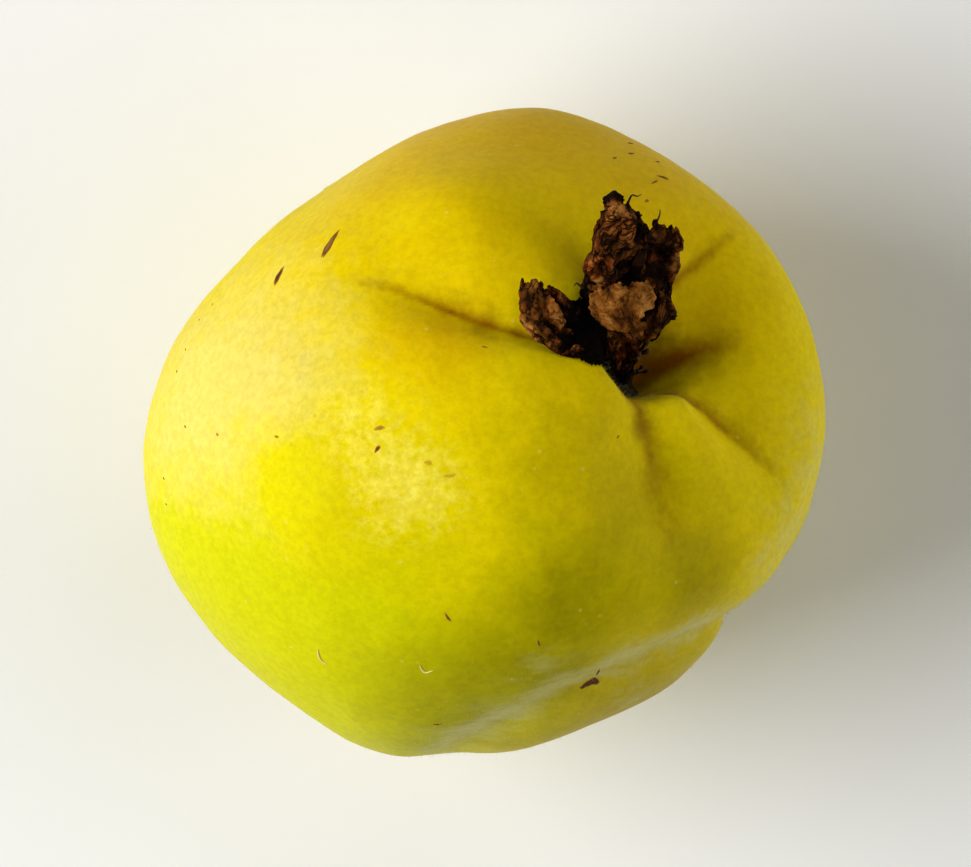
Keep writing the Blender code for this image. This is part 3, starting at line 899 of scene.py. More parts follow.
# ---------------------------------------------------------------- marks on the skin
# Healed scratches and specks: polar angle and azimuth in degrees where each begins and ends, its
# width in mm, how dark its core is, and how tan its middle is.
MARKS = (
    (61.6, 120.6, 60.1, 111.8, 1.05, 0.95, 0.4),
    (71.5, 124.4, 70.6, 119.2, 0.95, 0.85, 0.0),
    (53.8, 163.0, 51.4, 163.8, 0.56, 0.3, 0.3),
    (55.4, 167.6, 53.7, 166.7, 0.50, 0.6, 0.0),
    (66.0, -158.6, 67.0, -156.0, 0.40, 0.6, 0.0),
    (93.6, -143.8, 92.4, -142.2, 0.42, 0.8, 0.0),
    (38.8, 25.8, 37.6, 30.6, 0.50, 0.95, 0.0),
    (36.6, 29.6, 34.0, 32.6, 0.26, 0.6, 0.0),
    (44.2, 28.4, 42.6, 30.4, 0.34, 0.7, 0.0),
    (42.8, 36.0, 41.6, 38.6, 0.40, 0.75, 0.0),
    (39.4, 42.4, 38.2, 44.4, 0.34, 0.65, 0.0),
    (48.0, 34.6, 46.8, 37.0, 0.42, 0.9, 0.0),
    (29.8, 32.8, 28.4, 34.8, 0.46, 0.40, 0.0),
    (30.8, 151.4, 29.4, 153.0, 0.30, 0.4, 0.0),
    (64.0, -138.0, 62.4, -139.6, 0.30, 0.7, 0.0),
    (76.2, -122.2, 72.6, -119.2, 1.15, 1.0, 0.0),
    (74.6, -120.4, 72.8, -119.0, 1.80, 1.0, 0.0),
    (72.4, -119.8, 69.6, -120.5, 0.40, 0.8, 0.0),
    (94.7, 143.6, 94.1, 144.4, 0.26, 0.6, 0.0),
    (96.8, 127.6, 96.2, 128.4, 0.24, 0.6, 0.0),
    (98.4, 131.4, 97.8, 132.2, 0.26, 0.6, 0.0),
    (92.4, 119.4, 91.8, 120.2, 0.26, 0.5, 0.0),
    (95.2, 121.8, 94.6, 122.6, 0.24, 0.5, 0.0),
    (71.6, 155.2, 70.6, 156.0, 0.34, 0.35, 0.0),
    (85.6, 148.8, 84.8, 149.6, 0.34, 0.35, 0.0),
    (105.5, 148.8, 104.9, 149.6, 0.24, 0.7, 0.0),
    (107.2, 153.0, 106.6, 153.8, 0.22, 0.6, 0.0),
    (22.6, -138.8, 21.6, -137.2, 0.26, 0.5, 0.0),
    (48.8, 175.0, 47.6, 176.6, 0.60, 0.08, 0.0),
    (47.6, -179.6, 45.4, -177.8, 0.50, 0.08, 0.0),
    # The side and the back that the table view does not show, in the same manner.
    (88.0, 60.0, 84.0, 66.0, 0.8, 0.7, 0.5),
    (101.0, 15.0, 99.5, 16.5, 0.4, 0.8, 0.0),
    (97.0, -20.0, 95.6, -17.0, 0.5, 0.7, 0.0),
    (84.0, -48.0, 82.8, -47.0, 0.35, 0.6, 0.0),
    (110.0, 80.0, 108.0, 83.0, 0.5, 0.8, 0.0),
    (118.0, -95.0, 116.8, -93.0, 0.4, 0.7, 0.0),
    (104.0, -70.0, 103.2, -69.2, 0.3, 0.7, 0.0),
    (122.0, 30.0, 120.8, 31.0, 0.36, 0.7, 0.0),
)
MARK_RINGS = 5
MARK_AROUND = 28
MARK_SUNK = 0.02 * MM
MARK_PROUD = 0.05 * MM
MARK_ROOT = 0.12 * MM


def make_marks():
    """Each mark is a low corky blister whose edge dips into the skin."""
    heap = Heap()
    faces = ball_faces(MARK_RINGS * 2 - 1, MARK_AROUND)
    turn = np.linspace(0.0, 2.0 * math.pi, MARK_AROUND, endpoint=False)
    for number, (polar_a, azimuth_a, polar_b, azimuth_b, width, dark, tan) in enumerate(MARKS):
        start = np.radians((polar_a, azimuth_a))
        end = np.radians((polar_b, azimuth_b))
        middle = (start + end) / 2
        level = math.sin(middle[0])
        along = np.array((end[0] - start[0], (end[1] - start[1]) * level)) / 2
        beside = np.array((-along[1], along[0])) / np.linalg.norm(along)
        ragged = 1.0 + 0.10 * np.cos(3 * turn + number) + 0.06 * np.cos(7 * turn + 2.0 * number)
        layers = []
        cores = []
        for share in np.arange(1, MARK_RINGS + 1) / MARK_RINGS:
            tip = np.cos(turn) * share * ragged
            side = np.sign(np.sin(turn)) * np.abs(np.sin(turn)) ** 1.15 * share * ragged
            across = side * width * MM / 2 / RADIUS
            polar = middle[0] + along[0] * tip + beside[0] * across
            azimuth = middle[1] + (along[1] * tip + beside[1] * across) / level
            layers.append((polar, azimuth, (MARK_PROUD + MARK_SUNK) * (1.0 - share**2) - MARK_SUNK))
            cores.append(1.0 - share**1.6)
        crown = (middle[:1], middle[1:])
        top = [off_skin(*layer) for layer in layers]
        under = [off_skin(polar, azimuth, -MARK_ROOT) for polar, azimuth, _ in layers[-2::-1]]
        ends = off_skin(*crown, MARK_PROUD), off_skin(*crown, -MARK_ROOT)
        points = np.concatenate((ends[0], *top, *under, ends[1]))
        hidden = np.zeros(len(under) * MARK_AROUND + 1)
        core = np.concatenate(([1.0], np.repeat(cores, MARK_AROUND), hidden))
        heap.add(points, faces, core=core * dark, tan=tan * smooth_step(0.55, 0.8, core))
    heap.piece("russet_marks", russet_cork(), "skin")


# Nicks where a curl of skin stands up pale: polar angle and azimuth in degrees along each.
NICKS = (
    ((91.4, -169.4), (92.4, -168.6), (93.3, -167.3), (93.0, -166.0)),
    ((78.9, -154.9), (79.7, -153.9), (79.8, -152.9), (78.4, -152.2)),
    ((97.0, 75.0), (97.9, 76.0), (97.6, 77.4), (96.6, 78.2)),
)
NICK_THICKNESS = 0.11 * MM
NICK_STEPS = 16
NICK_SIDES = 7


def make_nicks(material):
    """Thin curls of skin, as tapering threads along the skin."""
    heap = Heap()
    steps = np.linspace(0.0, 1.0, NICK_STEPS)
    for path in NICKS:
        polar, azimuth = np.radians(curve(path, steps)).T
        line = off_skin(polar, azimuth, 0.4 * NICK_THICKNESS)
        thick = NICK_THICKNESS * (0.25 + 0.75 * np.sin(steps * math.pi))
        points, faces = tube(line, thick, NICK_SIDES)
        heap.add(points, faces, dusty=0.0)
    heap.piece("skin_nicks", material, "skin")


# ---------------------------------------------------------------- the dried calyx
# Rows of points from the base to the tip of a sepal, each row from its left to its right edge, in
# mm from the middle of the basin floor as the fruit lies. Then how deep it is crumpled in mm, how
# tan it is, how ragged its tip is as a share of its length, and its tears: share of the length,
# side, and depth as a share of the width.
SEPALS = {
    "sepal_left": (
        (
            ((-1.2, 0.9, 3.5), (-0.9, 1.6, 3.2), (-0.9, 2.4, 3.0)),
            ((-3.5, 0.7, 12.6), (-2.8, 1.5, 12.2), (-2.0, 2.6, 10.6)),
            ((-6.0, 1.5, 14.4), (-5.2, 2.4, 14.6), (-4.1, 3.5, 13.0)),
            ((-8.3, 3.4, 15.6), (-6.9, 4.0, 16.4), (-5.3, 4.9, 14.6)),
            ((-9.6, 5.1, 15.2), (-8.1, 5.7, 17.0), (-6.1, 6.4, 15.4)),
            ((-9.9, 7.2, 15.4), (-8.7, 7.7, 16.6), (-7.1, 8.1, 15.6)),
            ((-9.8, 9.2, 15.0), (-8.9, 9.2, 15.6), (-7.7, 9.6, 15.4)),
        ),
        0.5, 0.34, 0.03, ((0.45, 1, 0.2),),
    ),
    "sepal_back_left": (
        (
            ((-0.9, 3.0, 1.2), (0.0, 3.3, 0.8), (1.0, 3.6, 0.6), (1.9, 3.8, 0.6)),
            ((-3.3, 7.4, 11.6), (-1.6, 7.2, 10.6), (0.4, 7.6, 8.2), (2.6, 8.0, 6.6)),
            ((-3.1, 9.6, 12.0), (-1.2, 9.8, 12.6), (1.3, 10.3, 9.6), (4.0, 10.4, 8.8)),
            ((-2.5, 12.4, 12.6), (-0.8, 12.6, 14.0), (1.4, 12.8, 12.4), (4.3, 12.4, 10.6)),
            ((-1.9, 14.8, 13.2), (-0.2, 15.4, 14.8), (1.8, 15.2, 14.0), (3.8, 14.8, 11.8)),
            ((-1.4, 17.0, 13.0), (-0.2, 17.8, 13.8), (1.3, 17.7, 13.6), (2.6, 16.7, 12.4)),
        ),
        0.75, 0.12, 0.05, ((0.9, 1, 0.2),),
    ),
    "sepal_back_right": (
        (
            ((2.6, 2.8, 0.2), (3.6, 3.0, 0.0), (4.6, 3.0, -0.2)),
            ((3.0, 6.0, 4.6), (4.8, 6.0, 4.0), (6.2, 5.8, 3.2)),
            ((2.9, 8.6, 7.8), (5.0, 8.8, 7.6), (6.2, 8.4, 6.2)),
            ((3.0, 10.9, 10.2), (5.3, 10.9, 9.8), (7.0, 10.6, 8.4)),
            ((3.2, 12.6, 6.8), (5.4, 12.5, 6.0), (7.0, 12.2, 5.2)),
            ((3.2, 13.3, 12.2), (5.6, 13.1, 11.6), (7.4, 12.7, 10.8)),
            ((3.5, 15.4, 12.8), (5.7, 15.2, 12.4), (7.4, 14.5, 11.4)),
        ),
        0.3, 0.42, 0.06, ((0.95, -1, 0.3),),
    ),
    "sepal_front": (
        (
            ((0.6, -1.5, 0.4), (1.2, -1.6, 0.2), (1.8, -1.4, 0.2)),
            ((0.0, 0.2, 5.0), (1.1, -0.2, 3.4), (2.3, 0.4, 4.6)),
            ((-0.6, 2.6, 9.4), (1.2, 2.4, 7.2), (2.9, 2.6, 9.0)),
            ((-0.8, 4.8, 11.8), (1.3, 4.6, 10.6), (3.4, 4.6, 11.2)),
            ((-1.5, 4.6, 13.8), (1.3, 3.9, 13.4), (3.5, 4.3, 13.2)),
            ((-2.4, 6.2, 14.6), (0.9, 5.8, 15.2), (4.1, 5.4, 14.2)),
            ((-2.6, 7.8, 14.4), (0.9, 7.9, 15.0), (4.3, 7.1, 14.0)),
            ((-1.5, 9.1, 14.0), (1.3, 9.4, 14.6), (4.0, 8.6, 13.6)),
        ),
        0.1, 0.85, 0.07, ((0.68, 1, 0.46), (0.74, 1, 0.3), (0.88, -1, 0.2)),
    ),
    "sepal_right": (
        (
            ((1.4, 0.6, -0.8), (1.8, 0.4, -0.8), (2.2, 0.7, -0.8)),
            ((2.0, 2.6, 3.6), (2.6, 2.4, 4.2), (3.2, 2.8, 3.4)),
            ((3.4, 4.4, 7.2), (4.7, 4.1, 8.2), (5.9, 4.7, 7.0)),
            ((4.2, 6.2, 9.2), (5.6, 5.9, 10.6), (6.7, 5.6, 8.8)),
            ((4.6, 8.4, 10.2), (5.3, 8.2, 10.9), (5.8, 7.5, 9.8)),
        ),
        0.3, 0.26, 0.05, (),
    ),
}
SEPAL_THICKNESS = 0.28 * MM
SEPAL_ROWS = 130
SEPAL_COLUMNS = 64
# How many places apart the random heights of the facets repeat.
LATTICE = 64
TRIANGLE_SLANT = 0.366
TIP_START = 0.6
# How wide a dried leaf's folds are in mm, and how many times longer along it than across it.
FOLD_SIZE = 1.9
FOLD_STRETCH = 2.3
FINE_SIZE = 0.9
FINE_STRETCH = 1.5
FINEST_SIZE = 0.42
# How far apart the folds drift from their straight run and back, in mm.
DRIFT_SIZE = 2.5
VEINS = 7
# Waves across the tip: how often, how deep as a share of the sepal's own raggedness, and the draw.
TIP_WAVES = ((2.2, 1.6, 0.5), (7.0, 0.96, 4.5))
# Waves down each edge: how often, and how deep as a share of the half width.
EDGE_WAVES = ((9.0, 0.11), (30.0, 0.07))
TEAR_WIDTH = 0.03
# Where the hollow between the back sepals is painted near black as shade, and how far that reaches, in mm.
PAINTED_SHADE_MIDDLE = (1.9, 11.4, 10.4)
PAINTED_SHADE_REACH = 3.0
PIECE_GAP = 0.3 * MM
MESH_SLACK = 0.15 * MM
DISC_RADIUS = 4.0 * MM
DISC_THICKNESS = 0.5 * MM
DISC_GAP = 0.5 * PIECE_GAP
DISC_RINGS = 22
DISC_AROUND = 96


def skin_height(across):
    """How high the flesh of the calyx side is along the axis, for points across the axis."""
    off_axis = np.hypot(across[..., 0], across[..., 1])
    azimuth = np.arctan2(across[..., 1], across[..., 0])
    polar = np.arcsin(off_axis / RADIUS)
    for _ in range(8):
        lying = direction_across(polar, azimuth) @ axis_frame().T
        reach = RADIUS + lumps_at(lying) - furrows_at(polar, azimuth)
        polar = np.arcsin(np.clip(off_axis / reach, 0.0, 1.0))
    return flesh_point(polar, azimuth)[..., 2]


def clear_height(across, gap):
    """The lowest height at which a point keeps the gap from the flesh, also from a steep wall."""
    heights = [skin_height(across)]
    for azimuth in np.linspace(0.0, 2.0 * math.pi, 8, endpoint=False):
        aside = np.array((math.cos(azimuth), math.sin(azimuth))) * gap
        heights.append(skin_height(across + aside))
    return np.max(heights, axis=0) + gap


def on_disc_height(across, gap=PIECE_GAP):
    """The lowest height that keeps a piece clear of the flesh and of the disc."""
    off_pit = np.linalg.norm(across - np.array(PIT_CENTRE), axis=-1)
    lift = np.where(off_pit < DISC_RADIUS + gap, DISC_THICKNESS + PIECE_GAP + MESH_SLACK, 0.0)
    return clear_height(across, gap) + lift


def curve(points, share):
    """Points of a smooth curve through the given points."""
    points = np.array(points, dtype=float)
    padded = np.concatenate((2 * points[:1] - points[1:2], points, 2 * points[-1:] - points[-2:-1]))
    place = share * (len(points) - 1)
    start = np.minimum(place.astype(int), len(points) - 2)
    rest = (place - start)[:, None]
    before, first, second, after = (padded[start + step] for step in range(4))
    bend = 2 * before - 5 * first + 4 * second - after
    twist = 3 * first - before - 3 * second + after
    return first + 0.5 * rest * (second - before + rest * (bend + rest * twist))


def plate_faces(rows, columns):
    """The outer face, the inner face and the rim of a plate made of two grids of points."""
    wide = columns + 1
    count = (rows + 1) * wide
    faces = []
    for row in range(rows):
        for column in range(columns):
            corner = row * wide + column
            outer = (corner, corner + 1, corner + wide + 1, corner + wide)
            faces.append(outer)
            faces.append(tuple(count + index for index in reversed(outer)))
    rim = list(range(columns))
    rim += [row * wide + columns for row in range(rows)]
    rim += [rows * wide + columns - column for column in range(columns)]
    rim += [(rows - row) * wide for row in range(rows)]
    for first, second in zip(rim, rim[1:] + rim[:1]):
        faces.append((second, first, count + first, count + second))
    return faces


def crumple(along, beside, size, seed):
    """Flat facets that meet in sharp folds, -0.5 in a hollow to 0.5 on a point."""
    heights = np.random.default_rng(int(10 * seed)).random((LATTICE, LATTICE))
    across = (along / size, beside / size)
    slant = (across[0] + across[1]) * TRIANGLE_SLANT
    cells = [np.floor(place + slant).astype(int) for place in across]
    rest = [place + slant - cell for place, cell in zip(across, cells)]
    first = rest[0] > rest[1]
    corners = ((0 * first, 0 * first), (first + 0, ~first + 0), (0 * first + 1, 0 * first + 1))
    largest, smallest = np.maximum(*rest), np.minimum(*rest)
    weights = (1.0 - largest, largest - smallest, smallest)
    height = 0.0
    for (down, aside), weight in zip(corners, weights):
        height = height + weight * heights[(cells[0] + down) % LATTICE, (cells[1] + aside) % LATTICE]
    return height - 0.5


def curve_shares(place, count):
    """Where a place lies among that many points, and the shares of the four points round it."""
    start = np.clip(place.astype(int), 0, count - 2)
    rest = place - start
    square = rest**2
    cube = rest**3
    shares = (
        (2 * square - rest - cube) / 2,
        (2 - 5 * square + 3 * cube) / 2,
        (rest + 4 * square - 3 * cube) / 2,
        (cube - square) / 2,
    )
    return start, shares


def drape(grid, share, across):
    """Points of a smooth sheet through the grid, for shares from base to tip and left to right."""
    grid = np.array(grid, dtype=float)
    grid = np.concatenate((2 * grid[:1] - grid[1:2], grid, 2 * grid[-1:] - grid[-2:-1]))
    left = 2 * grid[:, :1] - grid[:, 1:2]
    right = 2 * grid[:, -1:] - grid[:, -2:-1]
    grid = np.concatenate((left, grid, right), axis=1)
    rows, columns = grid.shape[0] - 2, grid.shape[1] - 2
    row, row_shares = curve_shares(share * (rows - 1), rows)
    column, column_shares = curve_shares(across * (columns - 1), columns)
    sheet = 0.0
    for down in range(4):
        for aside in range(4):
            weight = row_shares[down] * column_shares[aside]
            sheet = sheet + weight[..., None] * grid[row + down, column + aside]
    return sheet


def sheet_normal(sheet):
    return unit(np.cross(np.gradient(sheet, axis=1), np.gradient(sheet, axis=0)))


def ragged_shares(shape, seed, rows, columns):
    """Shares along and across a leaf, drawn in where its tip and its edges are torn."""
    _, _, _, ragged_tip, tears = shape
    lengthwise = np.linspace(0.0, 1.0, rows + 1)
    share, side = np.meshgrid(lengthwise, np.linspace(-1.0, 1.0, columns + 1), indexing="ij")
    tip = 0.6
    for often, deep, draw in TIP_WAVES:
        tip = tip + deep * noises([(place * often, seed, draw) for place in side[0]])
    share = share * (1.0 - ragged_tip * tip * smooth_step(TIP_START, 1.0, share))
    middle = share[:, columns // 2]
    ragged = 0.0
    for often, deep in EDGE_WAVES:
        left, right = (noises([(place * often, draw, seed) for place in middle]) for draw in (0.0, 7.0))
        ragged = ragged + deep * np.where(side < 0, left[:, None], right[:, None])
    for at, edge, deep in tears:
        ragged = ragged - deep * bump((share - at) / TEAR_WIDTH) * (np.sign(side) == edge)
    return share, side * (1.0 + ragged * np.abs(side) ** 3)


def dried_sheet(shape, seed, rows, columns):
    """A crumpled dried leaf: the two grids of points, and the point values for its material."""
    grid, crumpling, tone, _, _ = shape
    share, side = ragged_shares(shape, seed, rows, columns)
    sheet = drape(grid, share, 0.5 + 0.5 * side)
    along = np.cumsum(np.linalg.norm(np.gradient(sheet, axis=0), axis=-1), axis=0)
    beside = np.cumsum(np.linalg.norm(np.gradient(sheet, axis=1), axis=-1), axis=1)
    drift = uneven(sheet, DRIFT_SIZE, seed)
    folds = crumple(along / FOLD_STRETCH + drift, beside - 0.9 * drift, FOLD_SIZE, seed)
    fine = crumple(along / FINE_STRETCH - 0.6 * drift, beside + 0.8 * drift, FINE_SIZE, seed + 20.0)
    finest = crumple(along + 0.3 * drift, beside - 0.4 * drift, FINEST_SIZE, seed + 30.0)
    veins = np.cos(side * math.pi * VEINS / 2 + 3.0 * drift)
    loose = smooth_step(0.15, 0.55, share)
    # Painted shade: near black in the hollow between the back sepals.
    painted_shade = 0.5 * bump(np.linalg.norm(sheet - PAINTED_SHADE_MIDDLE, axis=-1) / PAINTED_SHADE_REACH)
    rise = crumpling * (0.5 + 0.5 * loose) * (2.4 * folds + 1.1 * fine)
    rise = rise + (0.08 + 0.3 * crumpling) * finest + 0.05 * veins
    sheet = (sheet + sheet_normal(sheet) * rise[..., None]) * MM + CALYX
    own = (sheet - CORE) @ axis_frame()
    lift = on_disc_height(own[..., :2]) - own[..., 2]
    own[..., 2] += np.maximum(lift, 0.0)
    sheet = to_table(own)
    thick = SEPAL_THICKNESS * (1.0 - 0.6 * np.abs(side) ** 4)[..., None]
    shift = sheet_normal(sheet)
    points = np.stack((sheet + shift * thick / 2, sheet - shift * thick / 2))
    # Painted shade: the hollows of the crumpled leaf are darker and its points lighter, less so where it is
    # tan.
    ridge = 0.95 * folds + 0.6 * fine + 0.35 * finest + 0.06 * veins
    ridge = ridge * (1.0 - 0.45 * tone) + 0.30 + 0.18 * tone
    # Painted shade: darker and less tan towards the base, deep in the basin.
    ridge = np.clip(ridge, 0.0, 1.0) * (0.65 + 0.35 * smooth_step(0.05, 0.35, share)) - painted_shade
    # Painted shade: the under face is a fifth darker.
    return points, {"ridge": np.stack((ridge, ridge * 0.8)), "tone": np.stack((loose, loose)) ** 2 * tone}


def make_sepals(material):
    """Each of the five sepals is a piece of its own, crumpled in its own way."""
    faces = plate_faces(SEPAL_ROWS, SEPAL_COLUMNS)
    for number, (name, shape) in enumerate(SEPALS.items()):
        points, shades = dried_sheet(shape, 3.7 * number + 1.3, SEPAL_ROWS, SEPAL_COLUMNS)
        make_piece("dried_" + name, points, faces, material, (name,), shades)


# The shrivelled collar that the sepals grow from, over the lip of the basin; painted near black as shade.
COLLAR = (
    (
        ((-4.4, 1.6, 13.4), (-5.0, 3.4, 13.3), (-5.3, 5.2, 13.4), (-5.2, 7.0, 13.6)),
        ((-3.2, 0.7, 13.8), (-3.2, 3.0, 12.8), (-3.1, 5.2, 12.3), (-3.0, 7.4, 11.9)),
        ((-1.8, 0.1, 13.0), (-1.7, 2.8, 11.2), (-1.6, 5.0, 10.6), (-1.6, 7.6, 10.2)),
        ((-0.6, -0.2, 8.0), (-0.9, 2.4, 6.0), (-0.9, 4.4, 5.6), (-0.6, 6.8, 6.0)),
    ),
    0.25, 0.0, 0.0, (),
)


def strip(line, widths, facing, roll):
    """A grid for a narrow scrap along a line, with its edges rolled back."""
    line = np.array(line, dtype=float)
    side = unit(np.cross(np.gradient(line, axis=0), facing))
    outward = unit(np.cross(side, np.gradient(line, axis=0)))
    half = np.array(widths)[:, None] / 2
    left = line - side * half - outward * roll * half
    right = line + side * half - outward * roll * half
    return np.stack((left, line, right), axis=1)


# Scraps of sepal that have torn or curled away: their line in mm, widths in mm, the way that they
# face, how far their edges roll, how crumpled they are in mm, and how tan.
SCRAPS = (
    (
        ((-2.0, 12.4, 12.8), (-1.4, 13.6, 14.4), (-0.4, 15.4, 15.2)),
        (0.9, 1.5, 0.7), (-0.4, -0.3, 0.8), 0.6, 0.15, 0.75,
    ),
    (
        ((0.2, 12.4, 13.0), (0.8, 14.2, 14.4), (1.5, 16.0, 15.0), (2.6, 15.2, 14.4)),
        (0.7, 1.1, 1.0, 0.6), (0.2, -0.4, 0.8), 0.7, 0.15, 0.6,
    ),
    (
        ((3.3, 13.8, 11.4), (3.3, 12.4, 12.0), (2.9, 11.2, 12.0), (2.3, 10.6, 11.4)),
        (0.6, 1.1, 1.2, 0.7), (0.5, -0.3, 0.8), 0.6, 0.15, 0.65,
    ),
    (
        ((1.4, 13.0, 12.6), (0.9, 11.8, 12.4), (0.4, 10.8, 11.8)),
        (0.5, 0.9, 0.6), (-0.6, -0.3, 0.7), 0.6, 0.12, 0.5,
    ),
    (
        ((2.2, 9.0, 9.8), (3.0, 11.0, 11.2), (3.6, 13.0, 12.0)),
        (1.0, 1.6, 1.1), (0.6, -0.5, 0.6), 0.4, 0.2, 0.15,
    ),
    (
        ((-3.6, 5.6, 13.4), (-4.9, 6.6, 14.4), (-6.1, 7.6, 15.0), (-7.0, 8.5, 15.2)),
        (2.2, 2.6, 2.0, 1.0), (0.3, 0.5, 0.8), 0.35, 0.2, 0.05,
    ),
    (
        ((-3.2, 1.6, 13.9), (-3.9, 1.9, 14.3), (-4.4, 1.5, 14.6)),
        (0.7, 1.0, 0.6), (-0.2, -0.3, 0.9), 0.4, 0.12, 0.2,
    ),
    (
        ((4.2, 4.6, 13.6), (5.0, 5.4, 12.8), (5.3, 7.0, 12.2), (5.2, 8.4, 11.6)),
        (0.6, 0.9, 0.8, 0.5), (0.5, 0.0, 0.8), 0.4, 0.12, 0.6,
    ),
    (
        ((-1.0, 17.4, 14.2), (0.0, 17.9, 15.0), (1.2, 17.6, 14.8)),
        (1.4, 1.8, 1.2), (0.0, 0.2, 0.9), 0.4, 0.25, 0.1,
    ),
)
SCRAP_ROWS = 34
SCRAP_COLUMNS = 16


def make_scraps(material):
    """Narrow rolled scraps of the same dried leaf as the sepals."""
    heap = Heap()
    faces = plate_faces(SCRAP_ROWS, SCRAP_COLUMNS)
    shapes = [(strip(*scrap[:4]), scrap[4], scrap[5], 0.08, ()) for scrap in SCRAPS]
    for number, shape in enumerate(shapes):
        points, shades = dried_sheet(shape, 40.0 + 2.9 * number, SCRAP_ROWS, SCRAP_COLUMNS)
        heap.add(points, faces, **shades)
    heap.piece("sepal_scraps", material, "dried_sepal")


def make_collar(material):
    """The collar, nearly black: painted shade, as it lies in the shade of the sepals."""
    points, shades = dried_sheet(COLLAR, 77.0, SEPAL_ROWS, SEPAL_COLUMNS)
    # Painted shade: its ridge values are all but flattened and pushed low.
    shades["ridge"] = 0.1 * shades["ridge"] - 0.3
    faces = plate_faces(SEPAL_ROWS, SEPAL_COLUMNS)
    make_piece("calyx_collar_painted_shade", points, faces, material, (), shades)


# ---------------------------------------------------------------- inside the calyx
# A direction that no thread runs along, from which its rings are turned.
NEVER_ALONG = (0.31, 0.72, -0.62)


def rings_round(side, outward, turn):
    """For each pair of directions across a thread, a ring of unit vectors round it."""
    return side[:, None] * np.cos(turn)[:, None] + outward[:, None] * np.sin(turn)[:, None]


def tube(line, radii, sides):
    """A closed thread along the line, with a radius at each of its points."""
    line = np.array(line, dtype=float)
    tangent = unit(np.gradient(line, axis=0))
    side = unit(np.cross(tangent, NEVER_ALONG))
    outward = np.cross(side, tangent)
    turn = np.linspace(0.0, 2.0 * math.pi, sides, endpoint=False)
    ring = rings_round(side, outward, turn)
    rings = line[:, None] + ring * np.array(radii)[:, None, None]
    points = np.concatenate((line[:1], rings.reshape(-1, 3), line[-1:]))
    return points, ball_faces(len(line), sides)


def tube_values(values, sides, first, last):
    """Point values for a tube: one for each end, and one for each of its rings."""
    return np.concatenate(([first], np.repeat(values, sides), [last]))


def raised(across, height):
    """Points across the axis, with their height along it."""
    return np.concatenate((across, np.broadcast_to(height, across.shape[:-1])[..., None]), axis=-1)


def ring_points(radius, turn, middle=PIT_CENTRE):
    """Points of a ring across the axis, round the middle of the basin or round another place."""
    return np.stack((radius * np.cos(turn), radius * np.sin(turn)), axis=-1) + middle


def make_disc():
    """The dried floor of the flower lines the basin, crusted, and breaks up at its edge."""
    shares = np.linspace(0.06, 1.0, DISC_RINGS)
    turn = np.linspace(0.0, 2.0 * math.pi, DISC_AROUND, endpoint=False)
    edge = 1.0 + 0.14 * noises(raised(ring_points(3.0, turn, 0.0), 1.0))
    upper = []
    lower = []
    for share in shares:
        across = ring_points(share * DISC_RADIUS * edge, turn)
        base = clear_height(across, DISC_GAP)
        floor = raised(across, base)
        crust = uneven(floor, 0.9 * MM, 2.0) * 0.28 * MM + uneven(floor, 0.35 * MM, 6.0) * 0.1 * MM
        thick = DISC_THICKNESS * (1.0 - 0.7 * share**4)
        upper.append(raised(across, base + thick + crust * (1.0 - share**6)))
        lower.append(floor)
    middle = np.array([PIT_CENTRE])
    base = clear_height(middle, DISC_GAP)
    ends = raised(middle, base + DISC_THICKNESS), raised(middle, base)
    points = to_table(np.concatenate((ends[0], *upper, *lower[::-1], ends[1])))
    faces = ball_faces(2 * DISC_RINGS, DISC_AROUND)
    make_piece("flower_disc_crust", points, faces, dried_disc(), ("calyx_disc",))


# How far off the middle the stamens stand and how tall they are; how far their tips sway, in mm.
STAMENS = 20
STAMEN_RING = (1.2 * MM, 2.0 * MM)
STAMEN_HEIGHT = (2.2 * MM, 3.8 * MM)
STAMEN_SWAY = 0.5
STAMEN_STEPS = 12
STAMEN_SIDES = 7
STYLES = 5
STYLE_HEIGHT = 5.6 * MM
STYLE_TWIST = 2.6
STYLE_STEPS = 22
STYLE_SIDES = 9


def make_stamens(rng, material):
    """Stamens in a tangled ring, each with the rest of its anther."""
    heap = Heap()
    steps = np.linspace(0.0, 1.0, STAMEN_STEPS)
    thick = (0.15 - 0.07 * steps + 0.16 * bump((steps - 0.93) / 0.07)) * MM
    dusty = tube_values(steps**2, STAMEN_SIDES, 0.0, 1.0) * 0.2
    for number in range(STAMENS):
        turn = 2.0 * math.pi * (number + 0.6 * rng.random()) / STAMENS
        radius = rng.uniform(*STAMEN_RING)
        tall = rng.uniform(*STAMEN_HEIGHT)
        sway = rng.uniform(-STAMEN_SWAY, STAMEN_SWAY, 2) * MM
        spread = radius + 0.25 * MM * steps + 0.25 * MM * np.sin(steps * 5 + number)
        across = ring_points(spread, turn + 0.25 * steps) + steps[:, None] ** 2 * sway
        base = on_disc_height(across[:1]).max() - 0.25 * MM
        points, faces = tube(raised(across, base + tall * steps), thick, STAMEN_SIDES)
        heap.add(to_table(points), faces, dusty=dusty)
    heap.piece("stamen_threads", material, "dried_stamen", ("stamen_tuft",))


def make_styles(material):
    """Five styles that twist round one another in the middle of the flower."""
    heap = Heap()
    steps = np.linspace(0.0, 1.0, STYLE_STEPS)
    base = on_disc_height(np.array([PIT_CENTRE])).max() - 0.3 * MM
    radius = (0.62 - 0.25 * np.sin(steps * math.pi) + 0.35 * steps**3) * MM
    thick = (0.3 - 0.12 * steps + 0.12 * bump((steps - 0.95) / 0.08)) * MM
    dusty = tube_values(steps**2, STYLE_SIDES, 0.0, 1.0) * 0.5
    for number in range(STYLES):
        turn = 2.0 * math.pi * number / STYLES + STYLE_TWIST * steps
        line = raised(ring_points(radius, turn), base + STYLE_HEIGHT * (0.84 + 0.04 * number) * steps)
        points, faces = tube(line, thick, STYLE_SIDES)
        heap.add(to_table(points), faces, dusty=dusty)
    heap.piece("style_strands", material, "dried_stamen", ("styles",))


